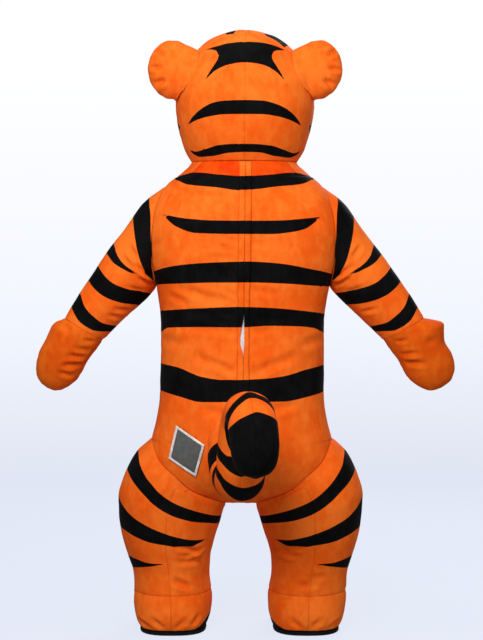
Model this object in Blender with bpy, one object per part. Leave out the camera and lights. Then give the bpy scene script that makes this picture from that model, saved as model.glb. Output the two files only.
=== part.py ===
# Tiger mascot costume: an air-filled plush shell that stands on its own soles.
# Metres, +Z up. The back faces -Y and the front faces +Y; the costume's left side is at -X.
# Every cloth piece is a wall of plush cut from one sewn surface along its seams.
import math
from collections import namedtuple

import bmesh
import bpy
from mathutils import Vector
from mathutils.bvhtree import BVHTree

PLUSH = 0.0025
SEAM_GAP = 0.0003
REST_GAP = 0.0006
CENTRE = 0.004

# The whole costume leans a little to its right, and its right arm swings out.
LEAN = 0.010
LEAN_LEVEL = 1.15
SWING = 0.020
SWING_FROM = 0.305
SWING_REACH = 0.38

# Horizontal sections of head, neck and body.
Section = namedtuple("Section", "z half_width back front squareness")
HEAD = (
    Section(1.540, 0.178, 0.152, 0.160, 2.0),
    Section(1.575, 0.194, 0.176, 0.186, 2.1),
    Section(1.620, 0.208, 0.196, 0.212, 2.2),
    Section(1.680, 0.224, 0.213, 0.236, 2.2),
    Section(1.735, 0.231, 0.221, 0.242, 2.2),
    Section(1.790, 0.228, 0.219, 0.236, 2.2),
    Section(1.845, 0.212, 0.206, 0.220, 2.1),
    Section(1.895, 0.183, 0.182, 0.192, 2.0),
    Section(1.935, 0.147, 0.150, 0.156, 2.0),
    Section(1.963, 0.108, 0.112, 0.114, 2.0),
    Section(1.981, 0.062, 0.066, 0.066, 2.0),
)
HEAD_TOP = 1.988
HEAD_ROWS = (1.582, 1.635, 1.695, 1.755, 1.810, 1.860, 1.905, 1.940, 1.965, 1.981)
BODY = (
    Section(1.575, 0.170, 0.146, 0.155, 2.0),
    Section(1.545, 0.178, 0.152, 0.160, 2.0),
    Section(1.515, 0.206, 0.168, 0.170, 2.0),
    Section(1.480, 0.250, 0.186, 0.184, 2.1),
    Section(1.430, 0.290, 0.200, 0.198, 2.3),
    Section(1.370, 0.314, 0.210, 0.210, 2.5),
    Section(1.300, 0.324, 0.214, 0.220, 2.6),
    Section(1.220, 0.314, 0.212, 0.230, 2.6),
    Section(1.138, 0.288, 0.206, 0.238, 2.5),
    Section(1.030, 0.273, 0.200, 0.245, 2.4),
    Section(0.900, 0.271, 0.200, 0.250, 2.4),
    Section(0.770, 0.274, 0.207, 0.246, 2.4),
    Section(0.690, 0.284, 0.212, 0.236, 2.4),
    Section(0.633, 0.299, 0.212, 0.224, 2.4),
    Section(0.568, 0.316, 0.206, 0.208, 2.4),
    Section(0.515, 0.318, 0.190, 0.190, 2.4),
    Section(0.468, 0.318, 0.156, 0.158, 2.4),
    Section(0.444, 0.318, 0.122, 0.124, 2.4),
    Section(0.425, 0.318, 0.082, 0.084, 2.4),
)

# Seams on the body.
NECK_TOP_BACK = 1.540
NECK_TOP_FRONT = 1.560
NECK_LOW_BACK = 1.490
NECK_LOW_FRONT = 1.512
YOKE_SPREAD = 0.86
ARMHOLE_TOP = 1.472
ARMHOLE_LOW = 1.138
ARMHOLE_ANGLE = math.radians(20)
TAPE_HALF = 0.016
TAPE_END = 0.780
WAIST_ROWS = (1.085, 0.98, 0.88, TAPE_END, 0.705)
LegSeam = namedtuple("LegSeam", "x z")
LEG_SEAM = (
    LegSeam(0.299, 0.633),
    LegSeam(0.268, 0.568),
    LegSeam(0.212, 0.515),
    LegSeam(0.158, 0.468),
    LegSeam(0.105, 0.444),
    LegSeam(0.055, 0.425),
)
CROTCH = LegSeam(0.050, 0.412)

# Sections across a limb: its outer and inner edge seen from behind, and how deep it is behind and before them.
Ring = namedtuple("Ring", "outer_x outer_z inner_x inner_z back front")
SLEEVE = (
    Ring(0.253, 1.472, 0.290, 1.138, 0.110, 0.110),
    Ring(0.335, 1.413, 0.304, 1.119, 0.113, 0.113),
    Ring(0.392, 1.333, 0.322, 1.098, 0.108, 0.110),
    Ring(0.454, 1.251, 0.347, 1.072, 0.100, 0.103),
    Ring(0.510, 1.168, 0.384, 1.038, 0.091, 0.095),
    Ring(0.557, 1.094, 0.427, 0.998, 0.083, 0.087),
    Ring(0.593, 1.032, 0.468, 0.957, 0.077, 0.080),
)
MITTEN = (
    Ring(0.593, 1.032, 0.468, 0.957, 0.077, 0.080),
    Ring(0.632, 1.012, 0.486, 0.930, 0.079, 0.082),
    Ring(0.657, 0.960, 0.505, 0.905, 0.076, 0.079),
    Ring(0.680, 0.912, 0.522, 0.878, 0.071, 0.074),
    Ring(0.689, 0.868, 0.535, 0.850, 0.063, 0.066),
    Ring(0.683, 0.832, 0.555, 0.822, 0.050, 0.053),
    Ring(0.660, 0.805, 0.584, 0.800, 0.031, 0.033),
)
MITTEN_TIP = (0.621, 0.788)
THUMB = 0.022
LEG = (
    Ring(0.299, 0.633, 0.050, 0.412, 0.150, 0.152),
    Ring(0.352, 0.585, 0.054, 0.398, 0.166, 0.168),
    Ring(0.390, 0.510, 0.060, 0.380, 0.175, 0.180),
    Ring(0.407, 0.440, 0.068, 0.352, 0.178, 0.186),
    Ring(0.404, 0.372, 0.079, 0.318, 0.174, 0.185),
    Ring(0.392, 0.302, 0.091, 0.280, 0.164, 0.178),
    Ring(0.374, 0.240, 0.101, 0.236, 0.153, 0.168),
    Ring(0.357, 0.185, 0.104, 0.185, 0.146, 0.162),
    Ring(0.353, 0.128, 0.096, 0.128, 0.150, 0.172),
)
FOOT = (
    Ring(0.353, 0.128, 0.096, 0.128, 0.150, 0.172),
    Ring(0.354, 0.100, 0.094, 0.100, 0.158, 0.222),
    Ring(0.350, 0.066, 0.096, 0.066, 0.163, 0.262),
    Ring(0.342, 0.036, 0.103, 0.036, 0.160, 0.275),
    Ring(0.329, 0.013, 0.112, 0.013, 0.150, 0.268),
)
FOOT_SQUARENESS = 2.7
SOLE_THICKNESS = 0.012
SOLE_MARGIN = 0.001

# The tail's centre line from the lower back to its tip, and its radius.
Station = namedtuple("Station", "x y z radius")
TAIL = (
    Station(-0.030, -0.170, 0.655, 0.076),
    Station(-0.029, -0.245, 0.600, 0.078),
    Station(-0.018, -0.312, 0.542, 0.079),
    Station(-0.006, -0.376, 0.530, 0.078),
    Station(-0.001, -0.421, 0.574, 0.076),
    Station(0.001, -0.430, 0.645, 0.075),
    Station(0.008, -0.446, 0.706, 0.074),
    Station(0.020, -0.505, 0.743, 0.074),
    Station(0.032, -0.566, 0.716, 0.074),
    Station(0.039, -0.592, 0.655, 0.073),
    Station(0.041, -0.600, 0.602, 0.064),
    Station(0.041, -0.603, 0.572, 0.044),
)
TAIL_FLATTENING = 0.90
TAIL_TIP = (0.041, -0.604, 0.556)

# Ears: sections from the head outwards, along the ear's reach.
EarRing = namedtuple("EarRing", "x y z half_height half_depth")
EAR_BASE_ANGLE = math.radians(72)
EAR_BASE_HALF_ANGLE = math.radians(24)
EAR_BASE_Z = 1.838
EAR_BASE_HALF_HEIGHT = 0.076
EAR = (
    EarRing(0.194, -0.068, 1.842, 0.088, 0.058),
    EarRing(0.221, -0.070, 1.846, 0.097, 0.059),
    EarRing(0.251, -0.070, 1.849, 0.097, 0.055),
    EarRing(0.280, -0.069, 1.850, 0.084, 0.047),
    EarRing(0.304, -0.068, 1.850, 0.058, 0.034),
    EarRing(0.317, -0.068, 1.850, 0.026, 0.017),
)
EAR_TIP = (0.322, -0.068, 1.850)
CLEARANCE = 0.006

# Vent window: corners on the left back as (x, z), and its binding.
VENT = ((-0.206, 0.680), (-0.118, 0.622), (-0.144, 0.522), (-0.229, 0.577))
BINDING = 0.006
VENT_LIFT = 0.0030
VENT_CLOTH = 0.0010
BINDING_LIFT = 0.0016
BINDING_CLOTH = 0.0011

# Flap over the zip: two strips that meet on the centre line and part at the slit.
FLAP_HALF = 0.0205
FLAP_CLOTH = 0.0020
FLAP_LIFT = 0.0036
SLIT_TOP = 1.050
SLIT_WIDEST = 0.957
SLIT_LOW = 0.905
SLIT_LEFT = 0.0125
SLIT_RIGHT = 0.0020

# Face.
MUZZLE_Z = 1.655
MUZZLE_HALF = (0.105, 0.066)
MUZZLE_REACH = 0.085
NOSE_HALF = (0.034, 0.024)
NOSE_DEPTH = 0.014
NOSE_RISE = 0.45
NOSE_STANDOFF = 0.010
EYE_X = 0.075
EYE_Z = 1.775
EYE_HALF = (0.030, 0.042)

COLUMNS = 5
YOKE_COLUMNS = 3
ARMHOLE_ROW = 3
ARM_HALF = 8
LEG_HALF = 8
ROUND = 12
DOME_ROWS = 3
VENT_STEPS = 4

ORANGE = (0.85, 0.20, 0.02, 1)
WHITE = (0.75, 0.74, 0.72, 1)
BLACK = (0.01, 0.01, 0.01, 1)
MESH_GREY = (0.09, 0.09, 0.09, 1)
SILVER = (0.55, 0.50, 0.48, 1)


def cubic(xs, ys, x):
    """Smooth curve through the points (xs, ys), which never overshoots them; xs rise."""
    if x <= xs[0]:
        return ys[0]
    if x >= xs[-1]:
        return ys[-1]
    steps = [b - a for a, b in zip(xs, xs[1:])]
    slopes = [(b - a) / h for a, b, h in zip(ys, ys[1:], steps)]
    i = max(k for k in range(len(steps)) if xs[k] <= x)

    def tangent(k):
        if k == 0:
            return slopes[0]
        if k == len(slopes):
            return slopes[-1]
        if slopes[k - 1] * slopes[k] <= 0:
            return 0.0
        w1 = 2 * steps[k] + steps[k - 1]
        w2 = steps[k] + 2 * steps[k - 1]
        return (w1 + w2) / (w1 / slopes[k - 1] + w2 / slopes[k])

    h = steps[i]
    t = (x - xs[i]) / h
    m0 = tangent(i) * h
    m1 = tangent(i + 1) * h
    a = ys[i]
    b = ys[i + 1]
    return a + t * m0 + t * t * (3 * (b - a) - 2 * m0 - m1) + t ** 3 * (2 * (a - b) + m0 + m1)


def section_at(table, z):
    rows = sorted(table, key=lambda row: row.z)
    heights = [row.z for row in rows]
    values = [cubic(heights, [row[k] for row in rows], z) for k in range(1, len(Section._fields))]
    return Section(z, *values)


def row_at(table, t):
    """The row at place t along a table, where row i is at t = i."""
    places = list(range(len(table)))
    return [cubic(places, [row[k] for row in table], t) for k in range(len(table[0]))]


def star(table, angle, z):
    """Point at an angle round the body, 0 at the centre back and 90 degrees at the +X side."""
    s = section_at(table, z)
    depth = s.back if math.cos(angle) > 0 else s.front
    across = abs(math.sin(angle)) / s.half_width
    along = abs(math.cos(angle)) / depth
    r = (across ** s.squareness + along ** s.squareness) ** (-1 / s.squareness)
    return Vector((r * math.sin(angle), -r * math.cos(angle), z))


def angle_at(table, x, z, behind=True):
    """Angle round the body of the point of the section at z that lies at x."""
    s = section_at(table, z)
    depth = s.back if behind else s.front
    share = min(abs(x) / s.half_width, 1.0)
    y = depth * (1 - share ** s.squareness) ** (1 / s.squareness)
    angle = math.atan2(abs(x), y)
    return math.copysign(angle if behind else math.pi - angle, x)


def clear_of(table, point, gap):
    """The point pushed straight out of the body until it is a gap away."""
    z = min(max(point.z, min(r.z for r in table)), max(r.z for r in table))
    angle = math.atan2(point.x, -point.y)
    skin = star(table, angle, z)
    flat = Vector((point.x, point.y, 0))
    reach = Vector((skin.x, skin.y, 0)).length + gap
    if flat.length >= reach:
        return point
    flat = flat.normalized() * reach
    return Vector((flat.x, flat.y, point.z))


def material(name, colour, roughness):
    m = bpy.data.materials.get(name) or bpy.data.materials.new(name)
    m.use_nodes = True
    shader = m.node_tree.nodes["Principled BSDF"]
    shader.inputs["Base Color"].default_value = colour
    shader.inputs["Roughness"].default_value = roughness
    return m


def add_object(name, bm, colour, roughness=0.9):
    bmesh.ops.recalc_face_normals(bm, faces=bm.faces)
    mesh = bpy.data.meshes.new(name)
    bm.to_mesh(mesh)
    bm.free()
    mesh.shade_smooth()
    mesh.set_sharp_from_angle(angle=math.radians(50))
    mesh.materials.append(material(name, colour, roughness))
    obj = bpy.data.objects.new(name, mesh)
    bpy.context.scene.collection.objects.link(obj)
    return obj


class Sewn:
    """One sewn surface: panels that share their seam points, each cut out later as a wall of its own."""

    def __init__(self):
        self.points = []
        self.numbers = {}
        self.faces = []
        self.panels = []

    def number(self, point):
        key = tuple(round(c * 2e4) for c in point)
        if key not in self.numbers:
            self.numbers[key] = len(self.points)
            self.points.append(Vector(point))
        return self.numbers[key]

    def face(self, panel, corners):
        ids = []
        for corner in corners:
            n = self.number(corner)
            if n not in ids:
                ids.append(n)
        if len(ids) > 2:
            self.faces.append(ids)
            self.panels.append(panel)

    def grid(self, rows, panel):
        """Faces between rows of points; panel is a name, or a function of row and column."""
        for i, (low, high) in enumerate(zip(rows, rows[1:])):
            for j in range(len(low) - 1):
                name = panel(i, j) if callable(panel) else panel
                self.face(name, (low[j], low[j + 1], high[j + 1], high[j]))

    def cut(self, thickness, colours, base=(), clear=None):
        """Make each panel an object: a wall inward from the surface, half a seam gap short of its edges.

        The points of the loop `base` are passed through the function `clear`, which lifts them off what they meet."""
        whole = bmesh.new()
        points = [whole.verts.new(p) for p in self.points]
        faces = [whole.faces.new([points[i] for i in ids]) for ids in self.faces]
        bmesh.ops.recalc_face_normals(whole, faces=whole.faces)
        whole.normal_update()
        whole.verts.index_update()
        middle = sum(self.points, Vector()) / len(self.points)
        outward = sum((f.calc_center_median() - middle).dot(f.normal) * f.calc_area() for f in whole.faces)
        if outward < 0:
            bmesh.ops.reverse_faces(whole, faces=whole.faces)
            whole.normal_update()
        objects = {}
        for name in dict.fromkeys(self.panels):
            mine = [f for f, panel in zip(faces, self.panels) if panel == name]
            bm = wall(mine, thickness, {self.number(p) for p in base}, clear)
            objects[name] = add_object(name, bm, colours.get(name, ORANGE))
        whole.free()
        return objects


def wall(faces, thickness, base, clear):
    """A closed wall from some faces of a sewn surface."""
    inside = set(faces)
    shift = {}
    edges = []
    for face in faces:
        for loop in face.loops:
            if sum(f in inside for f in loop.edge.link_faces) != 1:
                continue
            a = loop.vert
            b = loop.link_loop_next.vert
            inward = face.normal.cross(b.co - a.co).normalized()
            edges.append((a, b))
            for vert in (a, b):
                shift.setdefault(vert, []).append(inward)
    bm = bmesh.new()
    outer = {}
    inner = {}
    for vert in {v for face in faces for v in face.verts}:
        place = vert.co.copy()
        ways = shift.get(vert, [])
        if len(ways) == 2:
            place += (ways[0] + ways[1]) * (SEAM_GAP / 2) / max(1 + ways[0].dot(ways[1]), 0.4)
        elif ways:
            place += sum(ways, Vector()).normalized() * SEAM_GAP / 2
        back = place - vert.normal * thickness * min(vert.calc_shell_factor(), 1.4)
        if vert.index in base:
            place = clear(place)
            back = clear(back)
        outer[vert] = bm.verts.new(place)
        inner[vert] = bm.verts.new(back)
    for face in faces:
        bm.faces.new([outer[v] for v in face.verts])
        bm.faces.new([inner[v] for v in reversed(face.verts)])
    for a, b in edges:
        if a.index < b.index:
            bm.faces.new((outer[b], outer[a], inner[b]))
            bm.faces.new((outer[a], inner[a], inner[b]))
        else:
            bm.faces.new((outer[b], outer[a], inner[a]))
            bm.faces.new((outer[b], inner[a], inner[b]))
    return bm


def ease(t):
    return t * t * (3 - 2 * t)


def neck_top(angle):
    return NECK_TOP_BACK + (NECK_TOP_FRONT - NECK_TOP_BACK) * (1 - math.cos(angle)) / 2


def neck_low(angle):
    return NECK_LOW_BACK + (NECK_LOW_FRONT - NECK_LOW_BACK) * (1 - math.cos(angle)) / 2


def columns(first, second, last, spread=1.0):
    """Angles from the centre line: the zip tape's edge, then even steps to the last."""
    steps = range(1, COLUMNS + 1)
    return [first, second] + [second + (last - second) * (k / COLUMNS) ** spread for k in steps]


def half_angles(z, side, behind, last, spread=1.0):
    first = angle_at(BODY, CENTRE, z, behind)
    second = angle_at(BODY, CENTRE + side * TAPE_HALF, z, behind)
    if side < 0 and not behind:
        first -= 2 * math.pi
    return columns(first, second, side * last, spread)


def body_rows(side, behind):
    """Rows of points from neck to crotch, each from the centre line to the side, armhole or leg seam."""
    rows = []
    quarter = math.pi / 2

    def row(angles, height):
        return [star(BODY, a, height(a)) for a in angles]

    rows.append(row(half_angles(NECK_TOP_BACK, side, behind, quarter), neck_top))
    rows.append(row(half_angles(NECK_LOW_BACK, side, behind, quarter, YOKE_SPREAD), neck_low))
    middle = (NECK_LOW_BACK + ARMHOLE_TOP) / 2
    rows.append(row(half_angles(middle, side, behind, quarter, 0.92), lambda a: (neck_low(a) + ARMHOLE_TOP) / 2))
    for k in range(ARM_HALF + 1):
        turn = math.pi * k / ARM_HALF
        z = armhole_height(turn)
        reach = ARMHOLE_ANGLE * math.sin(turn)
        angles = half_angles(z, side, behind, quarter - reach if behind else quarter + reach)
        rows.append(row(angles, lambda a, z=z: z))
    for z in WAIST_ROWS:
        rows.append(row(half_angles(z, side, behind, quarter), lambda a, z=z: z))
    for k in range(LEG_HALF):
        x, z = row_at(LEG_SEAM, k * (len(LEG_SEAM) - 1) / (LEG_HALF - 1))
        last = angle_at(BODY, x, z, behind)
        rows.append(row(half_angles(z, side, behind, last), lambda a, z=z: z))
    far = side * CROTCH.x
    near = CENTRE + side * TAPE_HALF
    xs = [CENTRE, near] + [near + (far - near) * k / COLUMNS for k in range(1, COLUMNS + 1)]
    rows.append([Vector((x, 0, CROTCH.z)) for x in xs])
    return rows


def armhole_height(turn):
    return (ARMHOLE_TOP + ARMHOLE_LOW) / 2 + (ARMHOLE_TOP - ARMHOLE_LOW) / 2 * math.cos(turn)


def body_panel(side, behind):
    name = "left" if side < 0 else "right"

    def panel(i, j):
        if i == 0:
            if not behind or j > YOKE_COLUMNS:
                return "neck_front"
            return "zip_tape" if j == 0 else "neck_back_" + name
        if not behind:
            return "front"
        if j == 0 and i < ARMHOLE_ROW + ARM_HALF + WAIST_ROWS.index(TAPE_END) + 1:
            return "zip_tape"
        return "back_" + name

    return panel


def ring_points(ring, side, half, squareness=2.0):
    """Points round a limb: its outer edge first, then behind it to its inner edge, then before it."""
    outer_x, outer_z, inner_x, inner_z, back, front = ring
    points = []
    for k in range(2 * half):
        turn = math.pi * k / half
        c = math.copysign(abs(math.cos(turn)) ** (2 / squareness), math.cos(turn))
        s = math.copysign(abs(math.sin(turn)) ** (2 / squareness), math.sin(turn))
        x = (outer_x + inner_x) / 2 + (outer_x - inner_x) / 2 * c
        z = (outer_z + inner_z) / 2 + (outer_z - inner_z) / 2 * c
        points.append(Vector((side * x, -s * (back if s > 0 else front), z)))
    return points


def closed(points):
    return points + points[:1]


def limb(table, side, half, start, tip=None, fade=1.6, squareness=2.0):
    """Rows of a limb that leaves the loop of points `start` and eases into its own sections.

    The squareness is reached at the last row."""
    first = ring_points(table[0], side, half)
    offsets = [a - b for a, b in zip(start, first)]
    rows = [closed(list(start))]
    for k in range(1, len(table)):
        weight = 1 - ease(min(k / fade, 1.0))
        ring = ring_points(table[k], side, half, 2 + (squareness - 2) * k / (len(table) - 1))
        rows.append(closed([p + weight * d for p, d in zip(ring, offsets)]))
    if tip:
        rows.append([Vector((side * tip[0], 0, tip[1]))] * (2 * half + 1))
    return rows


def loop_of(rows_behind, rows_before, first, last):
    """The closed loop of row ends from row `first` down the back to row `last`, and up the front."""
    down = [rows_behind[i][-1] for i in range(first, last + 1)]
    up = [rows_before[i][-1] for i in range(last - 1, first, -1)]
    return down + up


def mitten_panel(name):
    """A mitten's seams run along its outer and its inner edge."""
    return lambda i, j: name + ("_back" if j < ARM_HALF else "_palm")


def build_suit():
    """Body, neck, head, arms and legs, which are sewn to each other."""
    suit = Sewn()
    for side, name in ((-1, "left"), (1, "right")):
        behind = body_rows(side, True)
        before = body_rows(side, False)
        suit.grid(behind, body_panel(side, True))
        suit.grid(before, body_panel(side, False))
        arm_last = ARMHOLE_ROW + ARM_HALF
        arm_loop = loop_of(behind, before, ARMHOLE_ROW, arm_last)
        sleeve = limb(SLEEVE, side, ARM_HALF, arm_loop)
        suit.grid(swung(sleeve), "sleeve_" + name)
        hand = list(MITTEN)
        if side > 0:
            hand[1] = hand[1]._replace(outer_x=hand[1].outer_x + THUMB)
        mitten = swung(limb(hand, side, ARM_HALF, sleeve[-1][:-1], tip=MITTEN_TIP))
        suit.grid(mitten, mitten_panel("mitten_" + name))
        leg_first = arm_last + len(WAIST_ROWS) + 1
        leg_loop = loop_of(behind, before, leg_first, leg_first + LEG_HALF)
        leg = limb(LEG, side, LEG_HALF, leg_loop, fade=1.5)
        suit.grid(leg, leg_panel("leg_" + name))
        foot = limb(FOOT, side, LEG_HALF, leg[-1][:-1], squareness=FOOT_SQUARENESS)
        suit.grid(foot, leg_panel("foot_" + name))
        suit.grid(head_rows(side, True), "head_back_" + name)
        suit.grid(head_rows(side, False), "head_front")
    return suit


def swung(rows):
    """The right arm's points, swung out more and more away from the body."""
    def out(p):
        return p + Vector((SWING * (max(p.x - SWING_FROM, 0) / SWING_REACH) ** 2, 0, 0))

    return [[out(p) for p in row] for row in rows]


def leg_panel(name):
    """A leg's seams run down its back and its front, about a quarter of the way round."""
    back_seam = LEG_HALF // 2
    front_seam = 2 * LEG_HALF - back_seam

    def panel(i, j):
        return name + ("_outer" if j < back_seam or j >= front_seam else "_inner")

    return panel


def head_rows(side, behind):
    quarter = math.pi / 2
    base = half_angles(NECK_TOP_BACK, side, behind, quarter)
    rows = [[star(BODY, a, neck_top(a)) for a in base]]
    for z in HEAD_ROWS:
        rows.append([star(HEAD, a, z) for a in base])
    rows.append([Vector((0, 0, HEAD_TOP))] * len(base))
    return rows


def build_ear(side):
    """A puffed round ear that stands on the side of the head, in a back and a front piece."""
    name = "left" if side < 0 else "right"
    half = ROUND // 2
    base = []
    for k in range(ROUND):
        turn = 2 * math.pi * k / ROUND
        angle = EAR_BASE_ANGLE - EAR_BASE_HALF_ANGLE * math.sin(turn)
        z = EAR_BASE_Z + EAR_BASE_HALF_HEIGHT * math.cos(turn)
        base.append(lifted_head(side * angle, z, REST_GAP))
    rows = [closed(base)]
    for row in EAR:
        ring = []
        for k in range(ROUND):
            turn = 2 * math.pi * k / ROUND
            y = row.y - row.half_depth * math.sin(turn)
            place = Vector((side * row.x, y, row.z + row.half_height * math.cos(turn)))
            ring.append(clear_of(HEAD, place, CLEARANCE))
        rows.append(closed(ring))
    rows.append([Vector((side * EAR_TIP[0], EAR_TIP[1], EAR_TIP[2]))] * (ROUND + 1))
    ear = Sewn()
    ear.grid(rows, lambda i, j: "ear_%s_%s" % (name, "back" if j < half else "front"))
    return ear, base


def lifted_head(angle, z, gap):
    return star(HEAD, angle, z) + normal_at(HEAD, angle, z) * gap


def normal_at(table, angle, z):
    d = 1e-3
    around = star(table, angle + d, z) - star(table, angle - d, z)
    up = star(table, angle, z + d) - star(table, angle, z - d)
    return around.cross(up).normalized()


def off_head(point):
    """The point, moved off the head's surface where it is nearer than the rest gap."""
    return clear_of(HEAD, point, REST_GAP)


def off_body(point):
    return clear_of(BODY, point, REST_GAP)


def tail_rows():
    """Rings round the tail's centre line, kept upright so that its seam stays on the outside of the curl."""
    count = len(TAIL)
    path = [Vector(s[:3]) for s in TAIL] + [Vector(TAIL_TIP)]
    rows = []
    for i in range(count):
        before = path[i - 1] if i else path[0]
        along = (path[i + 1] - before).normalized()
        side = Vector((1, 0, 0))
        side = (side - along * side.dot(along)).normalized()
        out = side.cross(along)
        ring = []
        for k in range(ROUND):
            turn = 2 * math.pi * k / ROUND
            place = out * math.cos(turn) * TAIL_FLATTENING + side * math.sin(turn)
            point = path[i] + TAIL[i].radius * place
            ring.append(clear_of(BODY, point, CLEARANCE) if i else point)
        rows.append(closed(ring))
    rows.append([path[-1]] * (ROUND + 1))
    return rows


def build_tail():
    """A curled tube in a left and a right half, its root on the lower back."""
    rows = tail_rows()
    rows[0] = closed([off_body(rooted(p, rows[1][k])) for k, p in enumerate(rows[0][:-1])])
    tail = Sewn()
    tail.grid(rows, lambda i, j: "tail_right" if j < ROUND // 2 else "tail_left")
    return tail, rows[0]


def rooted(point, following):
    """Where the line from the following ring back through a root point meets the body's skin."""
    way = (point - following).normalized()
    place = following.copy()
    for _ in range(400):
        skin = star(BODY, math.atan2(place.x, -place.y), place.z)
        if Vector((place.x, place.y)).length <= Vector((skin.x, skin.y)).length + REST_GAP:
            break
        place += way * 0.001
    return place


def skin_patch(tree, corners, margin, lift, steps):
    """Rows of points over a four-cornered patch of the back, lifted off its cloth."""
    (ax, az), (bx, bz), (cx, cz), (dx, dz) = corners
    rows = []
    for i in range(steps + 1):
        v = (i / steps) * (1 + 2 * margin) - margin
        row = []
        for j in range(steps + 1):
            u = (j / steps) * (1 + 2 * margin) - margin
            x = (1 - v) * ((1 - u) * ax + u * bx) + v * ((1 - u) * dx + u * cx)
            z = (1 - v) * ((1 - u) * az + u * bz) + v * ((1 - u) * dz + u * cz)
            skin = star(BODY, angle_at(BODY, x, z), z)
            hit, normal, _, _ = tree.ray_cast(skin + Vector((0, -0.05, 0)), Vector((0, 1, 0)))
            row.append(hit + normal * lift)
        rows.append(row)
    return rows


def build_vent(back):
    """The vent's window through the left back, its mesh over the window, and the binding round that."""
    tree = BVHTree.FromObject(back, bpy.context.evaluated_depsgraph_get())
    hole = skin_patch(tree, VENT, -0.03, 0.02, 1)
    outline = [hole[0][0], hole[0][1], hole[1][1], hole[1][0]]
    cutter_mesh = bmesh.new()
    near = [cutter_mesh.verts.new(p) for p in outline]
    face = cutter_mesh.faces.new(near)
    made = bmesh.ops.extrude_face_region(cutter_mesh, geom=[face])
    moved = [v for v in made["geom"] if isinstance(v, bmesh.types.BMVert)]
    bmesh.ops.translate(cutter_mesh, verts=moved, vec=(0, 0.06, 0))
    cutter = add_object("vent_cutter", cutter_mesh, BLACK)
    cutter.hide_render = True
    cutter.display_type = "WIRE"
    cut = back.modifiers.new("vent_window", "BOOLEAN")
    cut.operation = "DIFFERENCE"
    cut.solver = "EXACT"
    cut.object = cutter

    size = (Vector(VENT[1]) - Vector(VENT[0])).length
    mesh = Sewn()
    mesh.grid(skin_patch(tree, VENT, 0.0, VENT_LIFT, VENT_STEPS), "vent_mesh")
    mesh.cut(VENT_CLOTH, {"vent_mesh": MESH_GREY})
    binding = Sewn()
    inner = skin_patch(tree, VENT, -BINDING / size, VENT_LIFT + BINDING_LIFT, VENT_STEPS)
    outer = skin_patch(tree, VENT, BINDING / size / 2, VENT_LIFT + BINDING_LIFT, VENT_STEPS)
    binding.grid([closed(border(inner)), closed(border(outer))], "vent_binding")
    binding.cut(BINDING_CLOTH, {"vent_binding": SILVER})


def border(rows):
    """The points round the edge of a patch, in order."""
    last = len(rows) - 1
    top = rows[0][:-1]
    right = [row[-1] for row in rows[:-1]]
    bottom = rows[last][:0:-1]
    left = [row[0] for row in rows[:0:-1]]
    return top + right + bottom + left


def build_flap():
    """The two strips over the zip tape: they meet on the centre line, and part at the slit."""
    levels = [neck_top(0) - 0.004, 1.515, neck_low(0), (NECK_LOW_BACK + ARMHOLE_TOP) / 2]
    levels += [armhole_height(math.pi * k / ARM_HALF) for k in range(ARM_HALF + 1)]
    levels += [1.085, SLIT_TOP, 1.0, SLIT_WIDEST, SLIT_LOW, 0.88, 0.84, TAPE_END]
    for side, name in ((-1, "left"), (1, "right")):
        rows = []
        for z in sorted(levels, reverse=True):
            meeting = CENTRE
            if SLIT_LOW < z < SLIT_TOP:
                reach = (SLIT_TOP - z) / (SLIT_TOP - SLIT_WIDEST)
                if z < SLIT_WIDEST:
                    reach = (z - SLIT_LOW) / (SLIT_WIDEST - SLIT_LOW)
                meeting += side * reach * (SLIT_LEFT if side < 0 else SLIT_RIGHT)
            far = CENTRE + side * FLAP_HALF
            rows.append([lifted_body(x, z, FLAP_LIFT) for x in (meeting, far)])
        flap = Sewn()
        flap.grid(rows, "placket_" + name)
        flap.cut(FLAP_CLOTH, {})


def lifted_body(x, z, gap):
    angle = angle_at(BODY, x, z)
    return star(BODY, angle, z) + normal_at(BODY, angle, z) * gap


def build_sole(side, name):
    low = FOOT[-1]
    grown = Ring(low.outer_x + SOLE_MARGIN, SOLE_THICKNESS, low.inner_x - SOLE_MARGIN, SOLE_THICKNESS,
                 low.back + SOLE_MARGIN, low.front + SOLE_MARGIN)
    bm = bmesh.new()
    rim = [bm.verts.new(p) for p in ring_points(grown, side, 2 * LEG_HALF, FOOT_SQUARENESS)]
    top = bm.faces.new(rim)
    made = bmesh.ops.extrude_face_region(bm, geom=[top])
    lower = [v for v in made["geom"] if isinstance(v, bmesh.types.BMVert)]
    bmesh.ops.translate(bm, verts=lower, vec=(0, 0, -SOLE_THICKNESS))
    add_object("sole_" + name, bm, BLACK, 0.7)


def build_face():
    """Muzzle, nose and eyes: plain shapes set a rest gap off the front of the head."""
    dome("muzzle", 0.0, MUZZLE_Z, MUZZLE_HALF, MUZZLE_REACH, WHITE, PLUSH)
    nose_z = MUZZLE_Z + MUZZLE_HALF[1] * NOSE_RISE
    y = head_front_y(0.0, MUZZLE_Z) + MUZZLE_REACH * math.sqrt(1 - NOSE_RISE ** 2) + NOSE_DEPTH + NOSE_STANDOFF
    bm = bmesh.new()
    bmesh.ops.create_uvsphere(bm, u_segments=12, v_segments=7, radius=1.0)
    bmesh.ops.scale(bm, vec=(NOSE_HALF[0], NOSE_DEPTH, NOSE_HALF[1]), verts=bm.verts)
    bmesh.ops.translate(bm, vec=(0, y, nose_z), verts=bm.verts)
    add_object("nose", bm, BLACK, 0.5)
    for side, name in ((-1, "left"), (1, "right")):
        dome("eye_" + name, side * EYE_X, EYE_Z, EYE_HALF, 0.018, BLACK, PLUSH)


def head_front_y(x, z):
    return star(HEAD, angle_at(HEAD, x, z, False), z).y


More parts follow.
